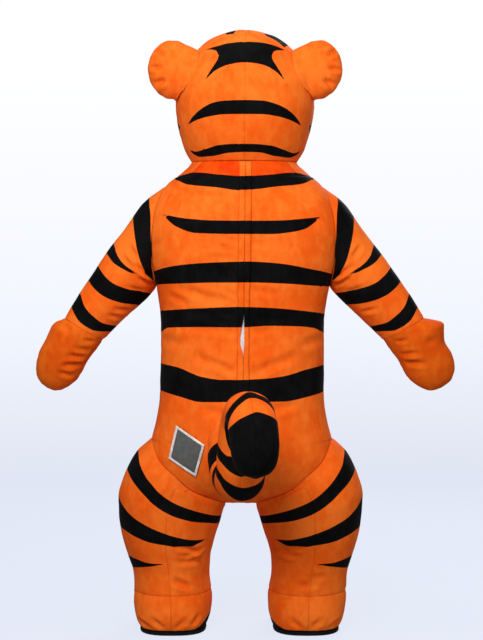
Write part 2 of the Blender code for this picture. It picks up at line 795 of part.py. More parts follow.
def dome(name, x, z, half, reach, colour, thickness):
    """A domed shell over an oval of the head's front."""
    rows = []
    for i in range(DOME_ROWS + 1):
        turn = math.pi / 2 * i / DOME_ROWS
        size = math.cos(turn)
        ring = []
        for k in range(ROUND):
            around = 2 * math.pi * k / ROUND
            px = x + half[0] * size * math.cos(around)
            pz = z + half[1] * size * math.sin(around)
            level = head_front_y(px, pz) * (1 - i / DOME_ROWS) + head_front_y(x, z) * i / DOME_ROWS
            ring.append(Vector((px, level + REST_GAP + reach * math.sin(turn), pz)))
        rows.append(closed(ring))
    piece = Sewn()
    piece.grid(rows, name)
    piece.cut(thickness, {name: colour}, rows[0], off_head)


def centre_on_floor():
    """Lean everything, and move it so that the whole costume's box is centred on the origin, its soles at Z 0."""
    bpy.context.view_layer.update()
    objects = [o for o in bpy.context.scene.objects if o.type == "MESH"]
    for o in objects:
        for v in o.data.vertices:
            v.co.x += LEAN * (v.co.z - LEAN_LEVEL)
    shown = [v.co for o in objects if not o.hide_render for v in o.data.vertices]
    x = (min(p.x for p in shown) + max(p.x for p in shown)) / 2
    y = (min(p.y for p in shown) + max(p.y for p in shown)) / 2
    z = min(p.z for p in shown)
    print("moved by", round(-x, 5), round(-y, 5), round(-z, 5))
    for o in objects:
        for v in o.data.vertices:
            v.co -= Vector((x, y, z))


def main():
    for o in list(bpy.data.objects):
        bpy.data.objects.remove(o, do_unlink=True)
    suit = build_suit()
    pieces = suit.cut(PLUSH, {"zip_tape": WHITE})
    build_vent(pieces["back_left"])
    build_flap()
    for side, name in ((-1, "left"), (1, "right")):
        ear, base = build_ear(side)
        ear.cut(PLUSH, {}, base, off_head)
        build_sole(side, name)
    tail, root = build_tail()
    tail.cut(PLUSH, {}, root, off_body)
    build_face()
    centre_on_floor()


main()
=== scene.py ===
import math

import bmesh
import bpy
import numpy as np
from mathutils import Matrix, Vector, kdtree, noise
from mathutils.bvhtree import BVHTree


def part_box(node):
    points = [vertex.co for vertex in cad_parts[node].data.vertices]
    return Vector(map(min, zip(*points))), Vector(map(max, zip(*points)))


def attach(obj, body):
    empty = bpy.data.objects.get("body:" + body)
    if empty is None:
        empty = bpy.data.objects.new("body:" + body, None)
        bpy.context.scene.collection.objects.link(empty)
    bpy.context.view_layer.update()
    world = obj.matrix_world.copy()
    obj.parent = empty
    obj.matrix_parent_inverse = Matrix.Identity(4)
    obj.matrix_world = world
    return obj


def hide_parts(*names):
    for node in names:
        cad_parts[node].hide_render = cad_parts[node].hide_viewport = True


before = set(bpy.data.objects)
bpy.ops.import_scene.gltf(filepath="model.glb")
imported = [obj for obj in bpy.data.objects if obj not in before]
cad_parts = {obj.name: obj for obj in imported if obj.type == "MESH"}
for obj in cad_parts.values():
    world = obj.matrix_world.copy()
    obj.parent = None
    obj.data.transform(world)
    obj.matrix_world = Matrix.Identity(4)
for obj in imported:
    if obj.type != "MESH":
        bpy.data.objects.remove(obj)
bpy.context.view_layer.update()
bpy.context.scene.view_settings.view_transform = "Standard"
print("frame loaded")

# Camera, softboxes and the glowing sweep behind them.
camera = {"place": (-0.01239, -4.84245, 1.024), "lens": 84.15}
cameraData = bpy.data.cameras.new("camera")
cameraData.lens = camera["lens"]
cameraData.sensor_fit = "AUTO"
cameraData.sensor_width = 36
cameraObject = bpy.data.objects.new("camera", cameraData)
cameraObject.location = camera["place"]
cameraObject.rotation_euler = (math.pi / 2, 0, 0)
bpy.context.scene.collection.objects.link(cameraObject)
bpy.context.scene.camera = cameraObject

# watts, size, where, and what each softbox looks at
lamps = {
    "key": (88, 1.3, (-0.75, -2.9, 2.75), (0, 0, 1.45)),
    "fill": (26, 1.8, (2.2, -3.2, 2.0), (0, 0, 1.2)),
    "top": (26, 1.6, (0.0, -0.4, 4.2), (0, 0, 1.2)),
    "front": (85, 1.8, (1.2, 3.4, 2.9), (0, 0, 1.2)),
}
for name, (watts, size, place, aim) in lamps.items():
    data = bpy.data.lights.new(name, "AREA")
    data.energy = watts
    data.size = size
    lamp = bpy.data.objects.new(name, data)
    lamp.location = place
    lamp.rotation_euler = (Vector(aim) - Vector(place)).to_track_quat("-Z", "Y").to_euler()
    bpy.context.scene.collection.objects.link(lamp)
room = {"tint": (0.93, 0.96, 1.0, 1), "strength": 0.30}
world = bpy.data.worlds.new("room")
world.use_nodes = True
world.node_tree.nodes["Background"].inputs["Color"].default_value = room["tint"]
world.node_tree.nodes["Background"].inputs["Strength"].default_value = room["strength"]
bpy.context.scene.world = world


def nodeOf(tree, kind, **sets):
    node = tree.nodes.new(kind)
    for key, value in sets.items():
        setattr(node, key, value)
    return node


def newMaterial(name):
    material = bpy.data.materials.new(name)
    material.use_nodes = True
    tree = material.node_tree
    return material, tree, tree.nodes["Principled BSDF"]


def ramp(tree, fac, stops):
    node = nodeOf(tree, "ShaderNodeValToRGB")
    elements = node.color_ramp.elements
    elements[0].position, elements[0].color = stops[0]
    elements[1].position, elements[1].color = stops[-1]
    for position, color in stops[1:-1]:
        elements.new(position).color = color
    tree.links.new(fac, node.inputs[0])
    return node.outputs["Color"]


sweep = {"radius": 1.2, "wall": 5.5, "near": -12.0, "high": 9.0, "wide": 16.0}
bm = bmesh.new()
profile = [bm.verts.new((-sweep["wide"], sweep["near"], 0))]
for k in range(13):
    turn = math.pi / 2 * k / 12
    y = sweep["wall"] - sweep["radius"] + sweep["radius"] * math.sin(turn)
    profile.append(bm.verts.new((-sweep["wide"], y, sweep["radius"] * (1 - math.cos(turn)))))
profile.append(bm.verts.new((-sweep["wide"], sweep["wall"], sweep["high"])))
edges = [bm.edges.new(pair) for pair in zip(profile, profile[1:])]
made = bmesh.ops.extrude_edge_only(bm, edges=edges)["geom"]
bmesh.ops.translate(bm, vec=(2 * sweep["wide"], 0, 0),
                    verts=[v for v in made if isinstance(v, bmesh.types.BMVert)])
bmesh.ops.recalc_face_normals(bm, faces=bm.faces)
if min(bm.faces, key=lambda face: face.calc_center_median().z).normal.z < 0:
    bmesh.ops.reverse_faces(bm, faces=bm.faces)
sweepMesh = bpy.data.meshes.new("sweep")
bm.to_mesh(sweepMesh)
bm.free()
sweepMesh.shade_smooth()
sweepObject = bpy.data.objects.new("sweep", sweepMesh)
bpy.context.scene.collection.objects.link(sweepObject)
material, tree, shader = newMaterial("sweep_painted_glow")
place = nodeOf(tree, "ShaderNodeTexCoord")
split = nodeOf(tree, "ShaderNodeSeparateXYZ")
tree.links.new(place.outputs["Object"], split.inputs[0])
rise = nodeOf(tree, "ShaderNodeMapRange")
rise.inputs["From Min"].default_value = 0.0
rise.inputs["From Max"].default_value = 3.2
tree.links.new(split.outputs["Z"], rise.inputs["Value"])
# painted light: the sweep glows, paler towards the top and darker and bluer towards the floor
sweepGlow = ramp(tree, rise.outputs[0],
             [(0.0, (0.715, 0.757, 0.86, 1)), (0.30, (0.865, 0.892, 0.97, 1)),
              (0.9, (0.985, 0.985, 0.99, 1))])
dim = nodeOf(tree, "ShaderNodeMix", data_type="RGBA")
dim.blend_type = "MULTIPLY"
dim.inputs["Factor"].default_value = 1.0
dim.inputs["B"].default_value = (0.05, 0.05, 0.05, 1)
tree.links.new(sweepGlow, dim.inputs["A"])
tree.links.new(dim.outputs["Result"], shader.inputs["Base Color"])
tree.links.new(sweepGlow, shader.inputs["Emission Color"])
shader.inputs["Emission Strength"].default_value = 1.0
facing = nodeOf(tree, "ShaderNodeNewGeometry")
shown = nodeOf(tree, "ShaderNodeMath", operation="SUBTRACT")
shown.inputs[0].default_value = 1.0
tree.links.new(facing.outputs["Backfacing"], shown.inputs[1])
tree.links.new(shown.outputs[0], shader.inputs["Alpha"])
shader.inputs["Roughness"].default_value = 1.0
sweepMesh.materials.append(material)
sweepObject.visible_diffuse = False
sweepObject.visible_glossy = False
print("camera, lights and sweep set")

# The costume's form, before its lean. Body and head sections are (height, half width, back, front,
# squareness), limb rings are (outer x, outer z, inner x, inner z, back, front).
form = {
    "lean": 0.010, "level": 1.15, "shift": (-0.00739, 0.15755), "centre": 0.004, "tapeHalf": 0.016,
    "tapeEnd": 0.780, "tapeTop": 1.520,
    "headTop": 1.988, "neckTop": (1.540, 1.560), "neckLow": (1.490, 1.512), "armhole": (1.138, 1.472),
    "armholeAngle": math.radians(20), "crotch": (0.050, 0.412), "swing": (0.020, 0.305, 0.38),
    "plush": 0.0025,
}
headSections = (
    (1.540, 0.178, 0.152, 0.160, 2.0), (1.575, 0.194, 0.176, 0.186, 2.1), (1.620, 0.208, 0.196, 0.212, 2.2),
    (1.680, 0.224, 0.213, 0.236, 2.2), (1.735, 0.231, 0.221, 0.242, 2.2), (1.790, 0.228, 0.219, 0.236, 2.2),
    (1.845, 0.212, 0.206, 0.220, 2.1), (1.895, 0.183, 0.182, 0.192, 2.0), (1.935, 0.147, 0.150, 0.156, 2.0),
    (1.963, 0.108, 0.112, 0.114, 2.0), (1.981, 0.062, 0.066, 0.066, 2.0))
bodySections = (
    (0.425, 0.318, 0.082, 0.084, 2.4), (0.444, 0.318, 0.122, 0.124, 2.4), (0.468, 0.318, 0.156, 0.158, 2.4),
    (0.515, 0.318, 0.190, 0.190, 2.4), (0.568, 0.316, 0.206, 0.208, 2.4), (0.633, 0.299, 0.212, 0.224, 2.4),
    (0.690, 0.284, 0.212, 0.236, 2.4), (0.770, 0.274, 0.207, 0.246, 2.4), (0.900, 0.271, 0.200, 0.250, 2.4),
    (1.030, 0.273, 0.200, 0.245, 2.4), (1.138, 0.288, 0.206, 0.238, 2.5), (1.220, 0.314, 0.212, 0.230, 2.6),
    (1.300, 0.324, 0.214, 0.220, 2.6), (1.370, 0.314, 0.210, 0.210, 2.5), (1.430, 0.290, 0.200, 0.198, 2.3),
    (1.480, 0.250, 0.186, 0.184, 2.1), (1.515, 0.206, 0.168, 0.170, 2.0), (1.545, 0.178, 0.152, 0.160, 2.0),
    (1.575, 0.170, 0.146, 0.155, 2.0))
legSeam = ((0.299, 0.633), (0.268, 0.568), (0.212, 0.515), (0.158, 0.468), (0.105, 0.444), (0.055, 0.425))
sleeveRings = (
    (0.253, 1.472, 0.290, 1.138, 0.110, 0.110), (0.335, 1.413, 0.304, 1.119, 0.113, 0.113),
    (0.392, 1.333, 0.322, 1.098, 0.108, 0.110), (0.454, 1.251, 0.347, 1.072, 0.100, 0.103),
    (0.510, 1.168, 0.384, 1.038, 0.091, 0.095), (0.557, 1.094, 0.427, 0.998, 0.083, 0.087),
    (0.593, 1.032, 0.468, 0.957, 0.077, 0.080))
mittenRings = (
    (0.593, 1.032, 0.468, 0.957, 0.077, 0.080), (0.632, 1.012, 0.486, 0.930, 0.079, 0.082),
    (0.657, 0.960, 0.505, 0.905, 0.076, 0.079), (0.680, 0.912, 0.522, 0.878, 0.071, 0.074),
    (0.689, 0.868, 0.535, 0.850, 0.063, 0.066), (0.683, 0.832, 0.555, 0.822, 0.050, 0.053),
    (0.660, 0.805, 0.584, 0.800, 0.031, 0.033), (0.636, 0.792, 0.606, 0.790, 0.015, 0.016),
    (0.621, 0.788, 0.621, 0.788, 0.0, 0.0))
legRings = (
    (0.299, 0.633, 0.050, 0.412, 0.150, 0.152), (0.352, 0.585, 0.054, 0.398, 0.166, 0.168),
    (0.390, 0.510, 0.060, 0.380, 0.175, 0.180), (0.407, 0.440, 0.068, 0.352, 0.178, 0.186),
    (0.404, 0.372, 0.079, 0.318, 0.174, 0.185), (0.392, 0.302, 0.091, 0.280, 0.164, 0.178),
    (0.374, 0.240, 0.101, 0.236, 0.153, 0.168), (0.357, 0.185, 0.104, 0.185, 0.146, 0.162),
    (0.353, 0.128, 0.096, 0.128, 0.150, 0.172))
footRings = (
    (0.353, 0.128, 0.096, 0.128, 0.150, 0.172), (0.354, 0.100, 0.094, 0.100, 0.158, 0.222),
    (0.350, 0.066, 0.096, 0.066, 0.163, 0.262), (0.342, 0.036, 0.103, 0.036, 0.160, 0.275),
    (0.329, 0.013, 0.112, 0.013, 0.150, 0.268))


def curve(xs, ys, x):
    # smooth curve through the points, which never overshoots them
    xs, ys = np.asarray(xs, float), np.asarray(ys, float)
    steps = np.diff(xs)
    slopes = np.diff(ys) / steps
    tangents = np.concatenate([slopes[:1], np.zeros(len(slopes) - 1), slopes[-1:]])
    for k in range(1, len(slopes)):
        if slopes[k - 1] * slopes[k] > 0:
            a, b = 2 * steps[k] + steps[k - 1], steps[k] + 2 * steps[k - 1]
            tangents[k] = (a + b) / (a / slopes[k - 1] + b / slopes[k])
    x = np.clip(x, xs[0], xs[-1])
    i = np.clip(np.searchsorted(xs, x, side="right") - 1, 0, len(steps) - 1)
    t = (x - xs[i]) / steps[i]
    a, b, m0, m1 = ys[i], ys[i + 1], tangents[i] * steps[i], tangents[i + 1] * steps[i]
    return a + t * m0 + t * t * (3 * (b - a) - 2 * m0 - m1) + t ** 3 * (2 * (a - b) + m0 + m1)


def rowAt(table, t):
    places = range(len(table))
    return [curve(places, [row[k] for row in table], t) for k in range(len(table[0]))]


def sectionAt(table, z):
    heights = [row[0] for row in table]
    return [curve(heights, [row[k] for row in table], z) for k in range(1, 5)]


def star(table, angle, z):
    # the point at an angle round a section, 0 at the centre back
    half, back, front, power = sectionAt(table, z)
    depth = np.where(np.cos(angle) > 0, back, front)
    r = ((abs(np.sin(angle)) / half) ** power + (abs(np.cos(angle)) / depth) ** power) ** (-1 / power)
    return np.stack([r * np.sin(angle), -r * np.cos(angle), z + 0 * r], -1)


def angleAt(table, x, z, behind=True):
    half, back, front, power = sectionAt(table, z)
    depth = back if behind else front
    y = depth * np.maximum(1 - np.minimum(abs(x) / half, 1) ** power, 0) ** (1 / power)
    angle = np.arctan2(abs(x), y)
    return np.sign(x) * (angle if behind else math.pi - angle)


# How far past the side, in radians, a stripe runs towards the front before it ends in a point.
stripeReach = {"body": 0.75, "head": 0.6, "neck": 0.30, "limb": 1.1}


def ease(t):
    t = np.clip(t, 0, 1)
    return t * t * (3 - 2 * t)


def neckTop(angle):
    low, high = form["neckTop"]
    return low + (high - low) * (1 - np.cos(angle)) / 2


def neckLow(angle):
    low, high = form["neckLow"]
    return low + (high - low) * (1 - np.cos(angle)) / 2


def armholeHeight(turn):
    low, high = form["armhole"]
    return (high + low) / 2 + (high - low) / 2 * np.cos(turn)


def steps(count):
    # even steps from 0 to 1, with one just inside each end, this share of a step away
    inset = 0.3
    inner = list(np.linspace(0, 1, count + 1))
    return sorted(set(inner + [inset / count, 1 - inset / count]))


def ringPoint(ring, side, turn, power=2.0):
    outerX, outerZ, innerX, innerZ, back, front = ring
    c = np.sign(np.cos(turn)) * abs(np.cos(turn)) ** (2 / power)
    s = np.sign(np.sin(turn)) * abs(np.sin(turn)) ** (2 / power)
    x = (outerX + innerX) / 2 + (outerX - innerX) / 2 * c
    z = (outerZ + innerZ) / 2 + (outerZ - innerZ) / 2 * c
    return np.stack([side * x, -s * np.where(s > 0, back, front), z], -1)


def limb(table, side, turn, v, start=None, fade=1.0, power=2.0):
    # leaves the loop of points it is sewn to and, over this many rings, eases into its own
    count = len(table) - 1
    t = v * count
    own = ringPoint(rowAt(table, t), side, turn, 2 + (power - 2) * t / count)
    if start is None:
        return own
    offset = start(turn) - ringPoint(rowAt(table, 0 * t), side, turn)
    return own + (1 - ease(t / fade))[:, None] * offset


def armLoop(side):
    def loop(turn):
        angle = math.pi / 2 - form["armholeAngle"] * np.sin(turn)
        return star(bodySections, side * angle, armholeHeight(turn))
    return loop


def legLoop(side):
    # seven eighths of each half turn follow the leg seam, and the last runs to the crotch
    def loop(turn):
        k = np.where(turn <= math.pi, turn, 2 * math.pi - turn) / math.pi * 8
        x, z = rowAt(legSeam, np.minimum(k, 7) * 5 / 7)
        behind = star(bodySections, angleAt(bodySections, side * x, z), z)
        before = star(bodySections, angleAt(bodySections, side * x, z, False), z)
        seam = np.where((turn <= math.pi)[:, None], behind, before)
        crotch = np.array([side * form["crotch"][0], 0, form["crotch"][1]])
        share = np.clip(k - 7, 0, 1)[:, None]
        return seam * (1 - share) + crotch * share
    return loop


def swung(points):
    out, start, reach = form["swing"]
    points[:, 0] += out * (np.maximum(points[:, 0] - start, 0) / reach) ** 2
    return points


# body rows from the neck seam to the crotch: height, neck share, kind of side edge, its value, crotch share
rowCount = {"arm": 52, "side": 60, "leg": 34, "crotch": 9}
legEnd = len(legSeam) - 1
bodyRows = [((1 - t), form["armhole"][1], "side", 0, 0) for t in (0, 0.12, 0.4, 0.7)]
for k in range(rowCount["arm"] + 1):
    turn = math.pi * k / rowCount["arm"]
    bodyRows.append((0, armholeHeight(turn), "arm", turn, 0))
sideHeights = np.linspace(form["armhole"][0], legSeam[0][1], rowCount["side"])[1:-1]
bodyRows += [(0, z, "side", 0, 0) for z in sideHeights]
for k in range(rowCount["leg"] + 1):
    along = k * legEnd / rowCount["leg"]
    bodyRows.append((0, float(rowAt(legSeam, along)[1]), "leg", along, 0))
for k in range(rowCount["crotch"]):
    bodyRows.append((0, legSeam[-1][1], "leg", legEnd, (k + 1) / rowCount["crotch"]))
print("body rows", len(bodyRows))


def bodyPanel(side, behind):
    neck = np.array([r[0] for r in bodyRows])
    height = np.array([r[1] for r in bodyRows])
    crotch = np.array([r[4] for r in bodyRows])
    last = []
    for _, z, kind, value, _ in bodyRows:
        if kind == "leg":
            x = float(rowAt(legSeam, value)[0])
            last.append(abs(float(angleAt(bodySections, x, z, behind))))
        else:
            reach = form["armholeAngle"] * math.sin(value) if kind == "arm" else 0
            last.append(math.pi / 2 - reach if behind else math.pi / 2 + reach)
    last = np.array(last)

    def panel(u, v):
        i = np.round(v * (len(bodyRows) - 1)).astype(int)
        z = height[i]
        tape = side * form["tapeHalf"] * ease((z - form["tapeEnd"]) / 0.012 + 1) if behind else 0 * z
        inner = angleAt(bodySections, form["centre"] + tape + 0 * z, z, behind)
        if not behind and side < 0:
            inner = inner - 2 * math.pi
        angle = inner + (side * last[i] - inner) * u
        z = z + neck[i] * (neckLow(angle) - form["armhole"][1])
        points = star(bodySections, angle, z)
        share = crotch[i][:, None]
        out, low = form["crotch"]
        foot = np.stack([form["centre"] + (side * out - form["centre"]) * u, 0 * u, 0 * u + low], -1)
        points = points * (1 - share) + foot * share
        wrap = 1 - np.maximum(abs(angle) - math.pi / 2, 0) / stripeReach["body"]
        return points, np.clip(wrap, 0, 1)
    return panel


# The head's rows run from its lowest section to its last ring, and a small cap closes the crown.
headCap = {"low": 1.55, "high": 1.981, "half": 0.062, "rise": 0.007, "fade": 0.05}


def headPanel(side, first, last):
    # first and last are angles: 0 at the centre back, up to pi at the centre front
    cap = headCap
    heights, halves = [r[0] for r in headSections], [r[1] for r in headSections]
    profile = np.array([(curve(heights, halves, z), z) for z in np.linspace(cap["low"], cap["high"], 200)])
    ring = np.linspace(0, math.pi / 2, 20)[1:]
    crown = np.stack([cap["half"] * np.cos(ring), cap["high"] + cap["rise"] * np.sin(ring)], -1)
    profile = np.concatenate([profile, crown])
    run = np.concatenate([[0], np.cumsum(np.linalg.norm(np.diff(profile, axis=0), axis=1))])

    def panel(u, v):
        angle = side * (first + (last - first) * u)
        z0 = neckTop(angle)
        z = np.interp(v * run[-1], run, profile[:, 1])
        z = z0 + (z - cap["low"]) / (form["headTop"] - cap["low"]) * (form["headTop"] - z0)
        low = star(headSections, angle, np.minimum(z, cap["high"]))
        shrink = np.sqrt(np.clip((form["headTop"] - z) / cap["rise"], 0, 1))
        points = np.stack([low[:, 0] * shrink, low[:, 1] * shrink, z], -1)
        offset = star(bodySections, angle, z0) - star(headSections, angle, z0)
        points += (1 - ease((z - z0) / cap["fade"]))[:, None] * offset
        wrap = 1 - np.maximum(abs(angle) - math.pi / 2, 0) / stripeReach["head"]
        return points, np.clip(wrap, 0, 1)
    return panel


def neckPanel(side, part):
    # part 0 is behind, from the tape to the yoke's slanted seam, and part 1 goes on round to the centre front
    def panel(u, v):
        z = form["neckTop"][0] + 0 * v
        tape = abs(angleAt(bodySections, form["centre"] + side * form["tapeHalf"] + 0 * v, z))
        seam = tape + (math.pi / 2 - tape) * (0.60 + 0.044 * v)
        angle = side * (tape + (seam - tape) * u if part == 0 else seam + (math.pi - seam) * u)
        z = neckTop(angle) + (neckLow(angle) - neckTop(angle)) * v
        wrap = 1 - np.maximum(abs(angle) - math.pi / 2, 0) / stripeReach["neck"]
        return star(bodySections, angle, z), np.clip(wrap, 0, 1)
    return panel


def tapeStrip(u, v):
    z = form["tapeTop"] + (form["tapeEnd"] - form["tapeTop"]) * v
    x = form["centre"] + form["tapeHalf"] * (2 * u - 1)
    return star(bodySections, angleAt(bodySections, x, z), z) + np.array([0, 0.0006, 0]), 1 - 0 * u


def sleevePanel(side):
    def panel(u, v):
        turn = 2 * math.pi * u
        points = limb(sleeveRings, side, turn, v, armLoop(side), 1.6)
        return swung(points), wrapOf(turn)
    return panel


def wrapOf(turn):
    away = np.minimum(turn - math.pi, 2 * math.pi - turn)
    return np.clip(1 - np.maximum(away, 0) / stripeReach["limb"], 0, 1)


def mittenPanel(side, front):
    # the right one reaches further out just past its wrist
    wider = 0.022
    rings = [list(r) for r in mittenRings]
    if side > 0:
        rings[1][0] += wider

    def panel(u, v):
        turn = math.pi * (u + front)
        return swung(limb(rings, side, turn, v)), wrapOf(turn)
    return panel


def legPanel(side, start):
    def panel(u, v):
        turn = (math.pi * (u + start)) % (2 * math.pi)
        return limb(legRings, side, turn, v, legLoop(side), 1.5), wrapOf(turn)
    return panel


def footPanel(side, start):
    def panel(u, v):
        turn = (math.pi * (u + start)) % (2 * math.pi)
        return limb(footRings, side, turn, v, power=2.7), wrapOf(turn)
    return panel


earForm = {"angle": math.radians(72), "halfAngle": math.radians(24), "z": 1.838, "halfHeight": 0.076,
           "clear": 0.005}
earRings = (
    (0.196, -0.068, 1.840, 0.080, 0.056), (0.203, -0.069, 1.843, 0.090, 0.059),
    (0.221, -0.070, 1.846, 0.097, 0.059),
    (0.251, -0.070, 1.849, 0.097, 0.055), (0.280, -0.069, 1.850, 0.084, 0.047),
    (0.304, -0.068, 1.850, 0.058, 0.034),
    (0.317, -0.068, 1.850, 0.030, 0.019), (0.322, -0.068, 1.850, 0.0, 0.0))


def clearOf(table, points, gap):
    angle = np.arctan2(points[:, 0], -points[:, 1])
    z = np.clip(points[:, 2], table[0][0], table[-1][0])
    reach = np.linalg.norm(star(table, angle, z)[:, :2], axis=1) + gap
    flat = np.linalg.norm(points[:, :2], axis=1)
    points[:, :2] *= np.maximum(reach / flat, 1)[:, None]
    return points


def earPanel(side, front):
    def panel(u, v):
        turn = math.pi * (u + front)
        x, y, z, high, deep = rowAt(earRings, 7 * v)
        own = np.stack([side * x, y - deep * np.sin(turn), z + high * np.cos(turn)], -1)
        x, y, z, high, deep = rowAt(earRings, 0 * v)
        first = np.stack([side * x, y - deep * np.sin(turn), z + high * np.cos(turn)], -1)
        angle = side * (earForm["angle"] - earForm["halfAngle"] * np.sin(turn))
        base = star(headSections, angle, earForm["z"] + earForm["halfHeight"] * np.cos(turn))
        own += (1 - ease(7 * v / 1.4))[:, None] * (base - first)
        return clearOf(headSections, own, 0.0015 + earForm["clear"] * ease(7 * v)), wrapOf(turn)
    return panel


tailStations = (
    (-0.030, -0.170, 0.655, 0.076), (-0.029, -0.245, 0.600, 0.078), (-0.018, -0.312, 0.542, 0.079),
    (-0.006, -0.376, 0.530, 0.078), (-0.001, -0.421, 0.574, 0.076), (0.001, -0.430, 0.645, 0.075),
    (0.008, -0.446, 0.706, 0.074), (0.020, -0.505, 0.743, 0.074), (0.032, -0.566, 0.716, 0.074),
    (0.039, -0.592, 0.655, 0.073), (0.041, -0.600, 0.602, 0.064), (0.041, -0.603, 0.572, 0.044),
    (0.041, -0.604, 0.556, 0.0))
tailForm = {"flattening": 0.90, "pitch": 0.06}


def tailPoint(turn, t):
    x, y, z, radius = rowAt(tailStations, t)
    before, after = rowAt(tailStations, t - 0.35), rowAt(tailStations, t + 0.35)
    along = np.stack([after[k] - before[k] for k in range(3)], -1)
    along /= np.linalg.norm(along, axis=1)[:, None]
    side = np.array([1.0, 0, 0]) - along * along[:, :1]
    side /= np.linalg.norm(side, axis=1)[:, None]
    out = np.cross(side, along)
    place = out * (np.cos(turn) * tailForm["flattening"])[:, None] + side * np.sin(turn)[:, None]
    return np.stack([x, y, z], -1) + radius[:, None] * place


def tailPanel(half):
    def panel(u, v):
        turn = math.pi * (u + half)
        probe = np.linspace(0, 2.5, 60)
        start = np.zeros(len(u))
        for value in sorted(set(np.round(turn, 6))):
            points = tailPoint(value + 0 * probe, probe)
            body = star(bodySections, np.arctan2(points[:, 0], -points[:, 1]), points[:, 2])
            reach = np.linalg.norm(body[:, :2], axis=1)
            inside = np.linalg.norm(points[:, :2], axis=1) < reach + 0.001
            start[abs(turn - value) < 1e-5] = probe[np.flatnonzero(inside)[-1]] if inside.any() else 0
        t = start + (12 - start) * v
        return clearOf(bodySections, tailPoint(turn, t), 0.002), tailDepth(turn, t)
    return panel


flapForm = {
    "half": 0.0205, "slit": (1.050, 0.957, 0.905), "left": 0.0125, "right": 0.0020, "lift": 0.0030,
    "cloth": 0.0020, "gap": 0.0003, "pull": 0.003, "pulled": (1.23, 0.80), "stand": 0.0022,
}


def flapPanel(side):
    top, widest, low = flapForm["slit"]

    def panel(u, v):
        z = float(neckTop(0)) - 0.001 + (form["tapeEnd"] - float(neckTop(0)) + 0.001) * v
        open_ = np.where(z > widest, (top - z) / (top - widest), (z - low) / (widest - low))
        open_ = ease(np.clip(open_, 0, 1)) * (flapForm["left"] if side < 0 else flapForm["right"])
        meeting = form["centre"] + side * (flapForm["gap"] + open_)
        high, deep = flapForm["pulled"]
        pull = flapForm["pull"] * ease((high - z) / 0.15) * ease((z - deep) / 0.10) if side > 0 else 0 * z
        far = form["centre"] + side * (flapForm["half"] - pull)
        x = meeting + (far - meeting) * u
        lift = flapForm["lift"] + 0.0016 * (1 - u) - 0.0008 * u ** 4
        points = star(bodySections, angleAt(bodySections, x, z), z)
        points[:, 1] -= lift + flapForm["stand"]
        return points, 1 - 0 * u
    return panel


ventForm = {"corners": ((-0.206, 0.680), (-0.118, 0.622), (-0.144, 0.522), (-0.229, 0.577)), "lift": 0.0035,
            "binding": 0.055}


def ventPoint(a, b, lift):
    (ax, az), (bx, bz), (cx, cz), (dx, dz) = ventForm["corners"]
    x = (1 - b) * ((1 - a) * ax + a * bx) + b * ((1 - a) * dx + a * cx)
    z = (1 - b) * ((1 - a) * az + a * bz) + b * ((1 - a) * dz + a * cz)
    points = star(bodySections, angleAt(bodySections, x, z), z)
    away = points.copy()
    away[:, 2] = 0
    return points + away / np.linalg.norm(away, axis=1)[:, None] * np.asarray(lift)[..., None]


def ventPanel(u, v):
    return ventPoint(u, v, ventForm["lift"] + 0 * u), 1 - 0 * u


def bindingPanel(u, v):
    m = ventForm["binding"] * (1.5 * v - 1.0)
    k = (u * 4) % 4
    a = np.select([k < 1, k < 2, k < 3], [k, 1 + 0 * k, 3 - k], 0 * k)
    b = np.select([k < 1, k < 2, k < 3], [0 * k, k - 1, 1 + 0 * k], 4 - k)
    bulge = 0.0012 * np.sin(math.pi * np.clip(v, 0, 1))
    return ventPoint(a + (2 * a - 1) * m, b + (2 * b - 1) * m, ventForm["lift"] + 0.0018 + bulge), 1 - 0 * u


domeForm = {"clear": 0.0008, "round": 0.8, "cleftHalf": 0.012, "cleftTop": 0.02, "cleftFade": 0.03}


def domePanel(x0, z0, halfX, halfZ, reach, cleft=0.0):
    def panel(u, v):
        around = 2 * math.pi * u
        size = np.cos(math.pi / 2 * v)
        x = x0 + halfX * size * np.cos(around)
        z = z0 + halfZ * size * np.sin(around)
        front = star(headSections, angleAt(headSections, x + 1e-6, z, False), z)[:, 1]
        level = z0 + 0 * z
        middle = star(headSections, angleAt(headSections, x0 + 1e-6 + 0 * x, level, False), level)[:, 1]
        rise = np.sin(math.pi / 2 * v)
        depth = reach * rise ** domeForm["round"]
        below = ease((z0 + domeForm["cleftTop"] - z) / domeForm["cleftFade"])
        dent = cleft * np.exp(-((x - x0) / domeForm["cleftHalf"]) ** 2) * below * rise
        y = front * (1 - v) + middle * v + domeForm["clear"] + depth - dent
        return np.stack([x, y, z], -1), 1 - 0 * u
    return panel


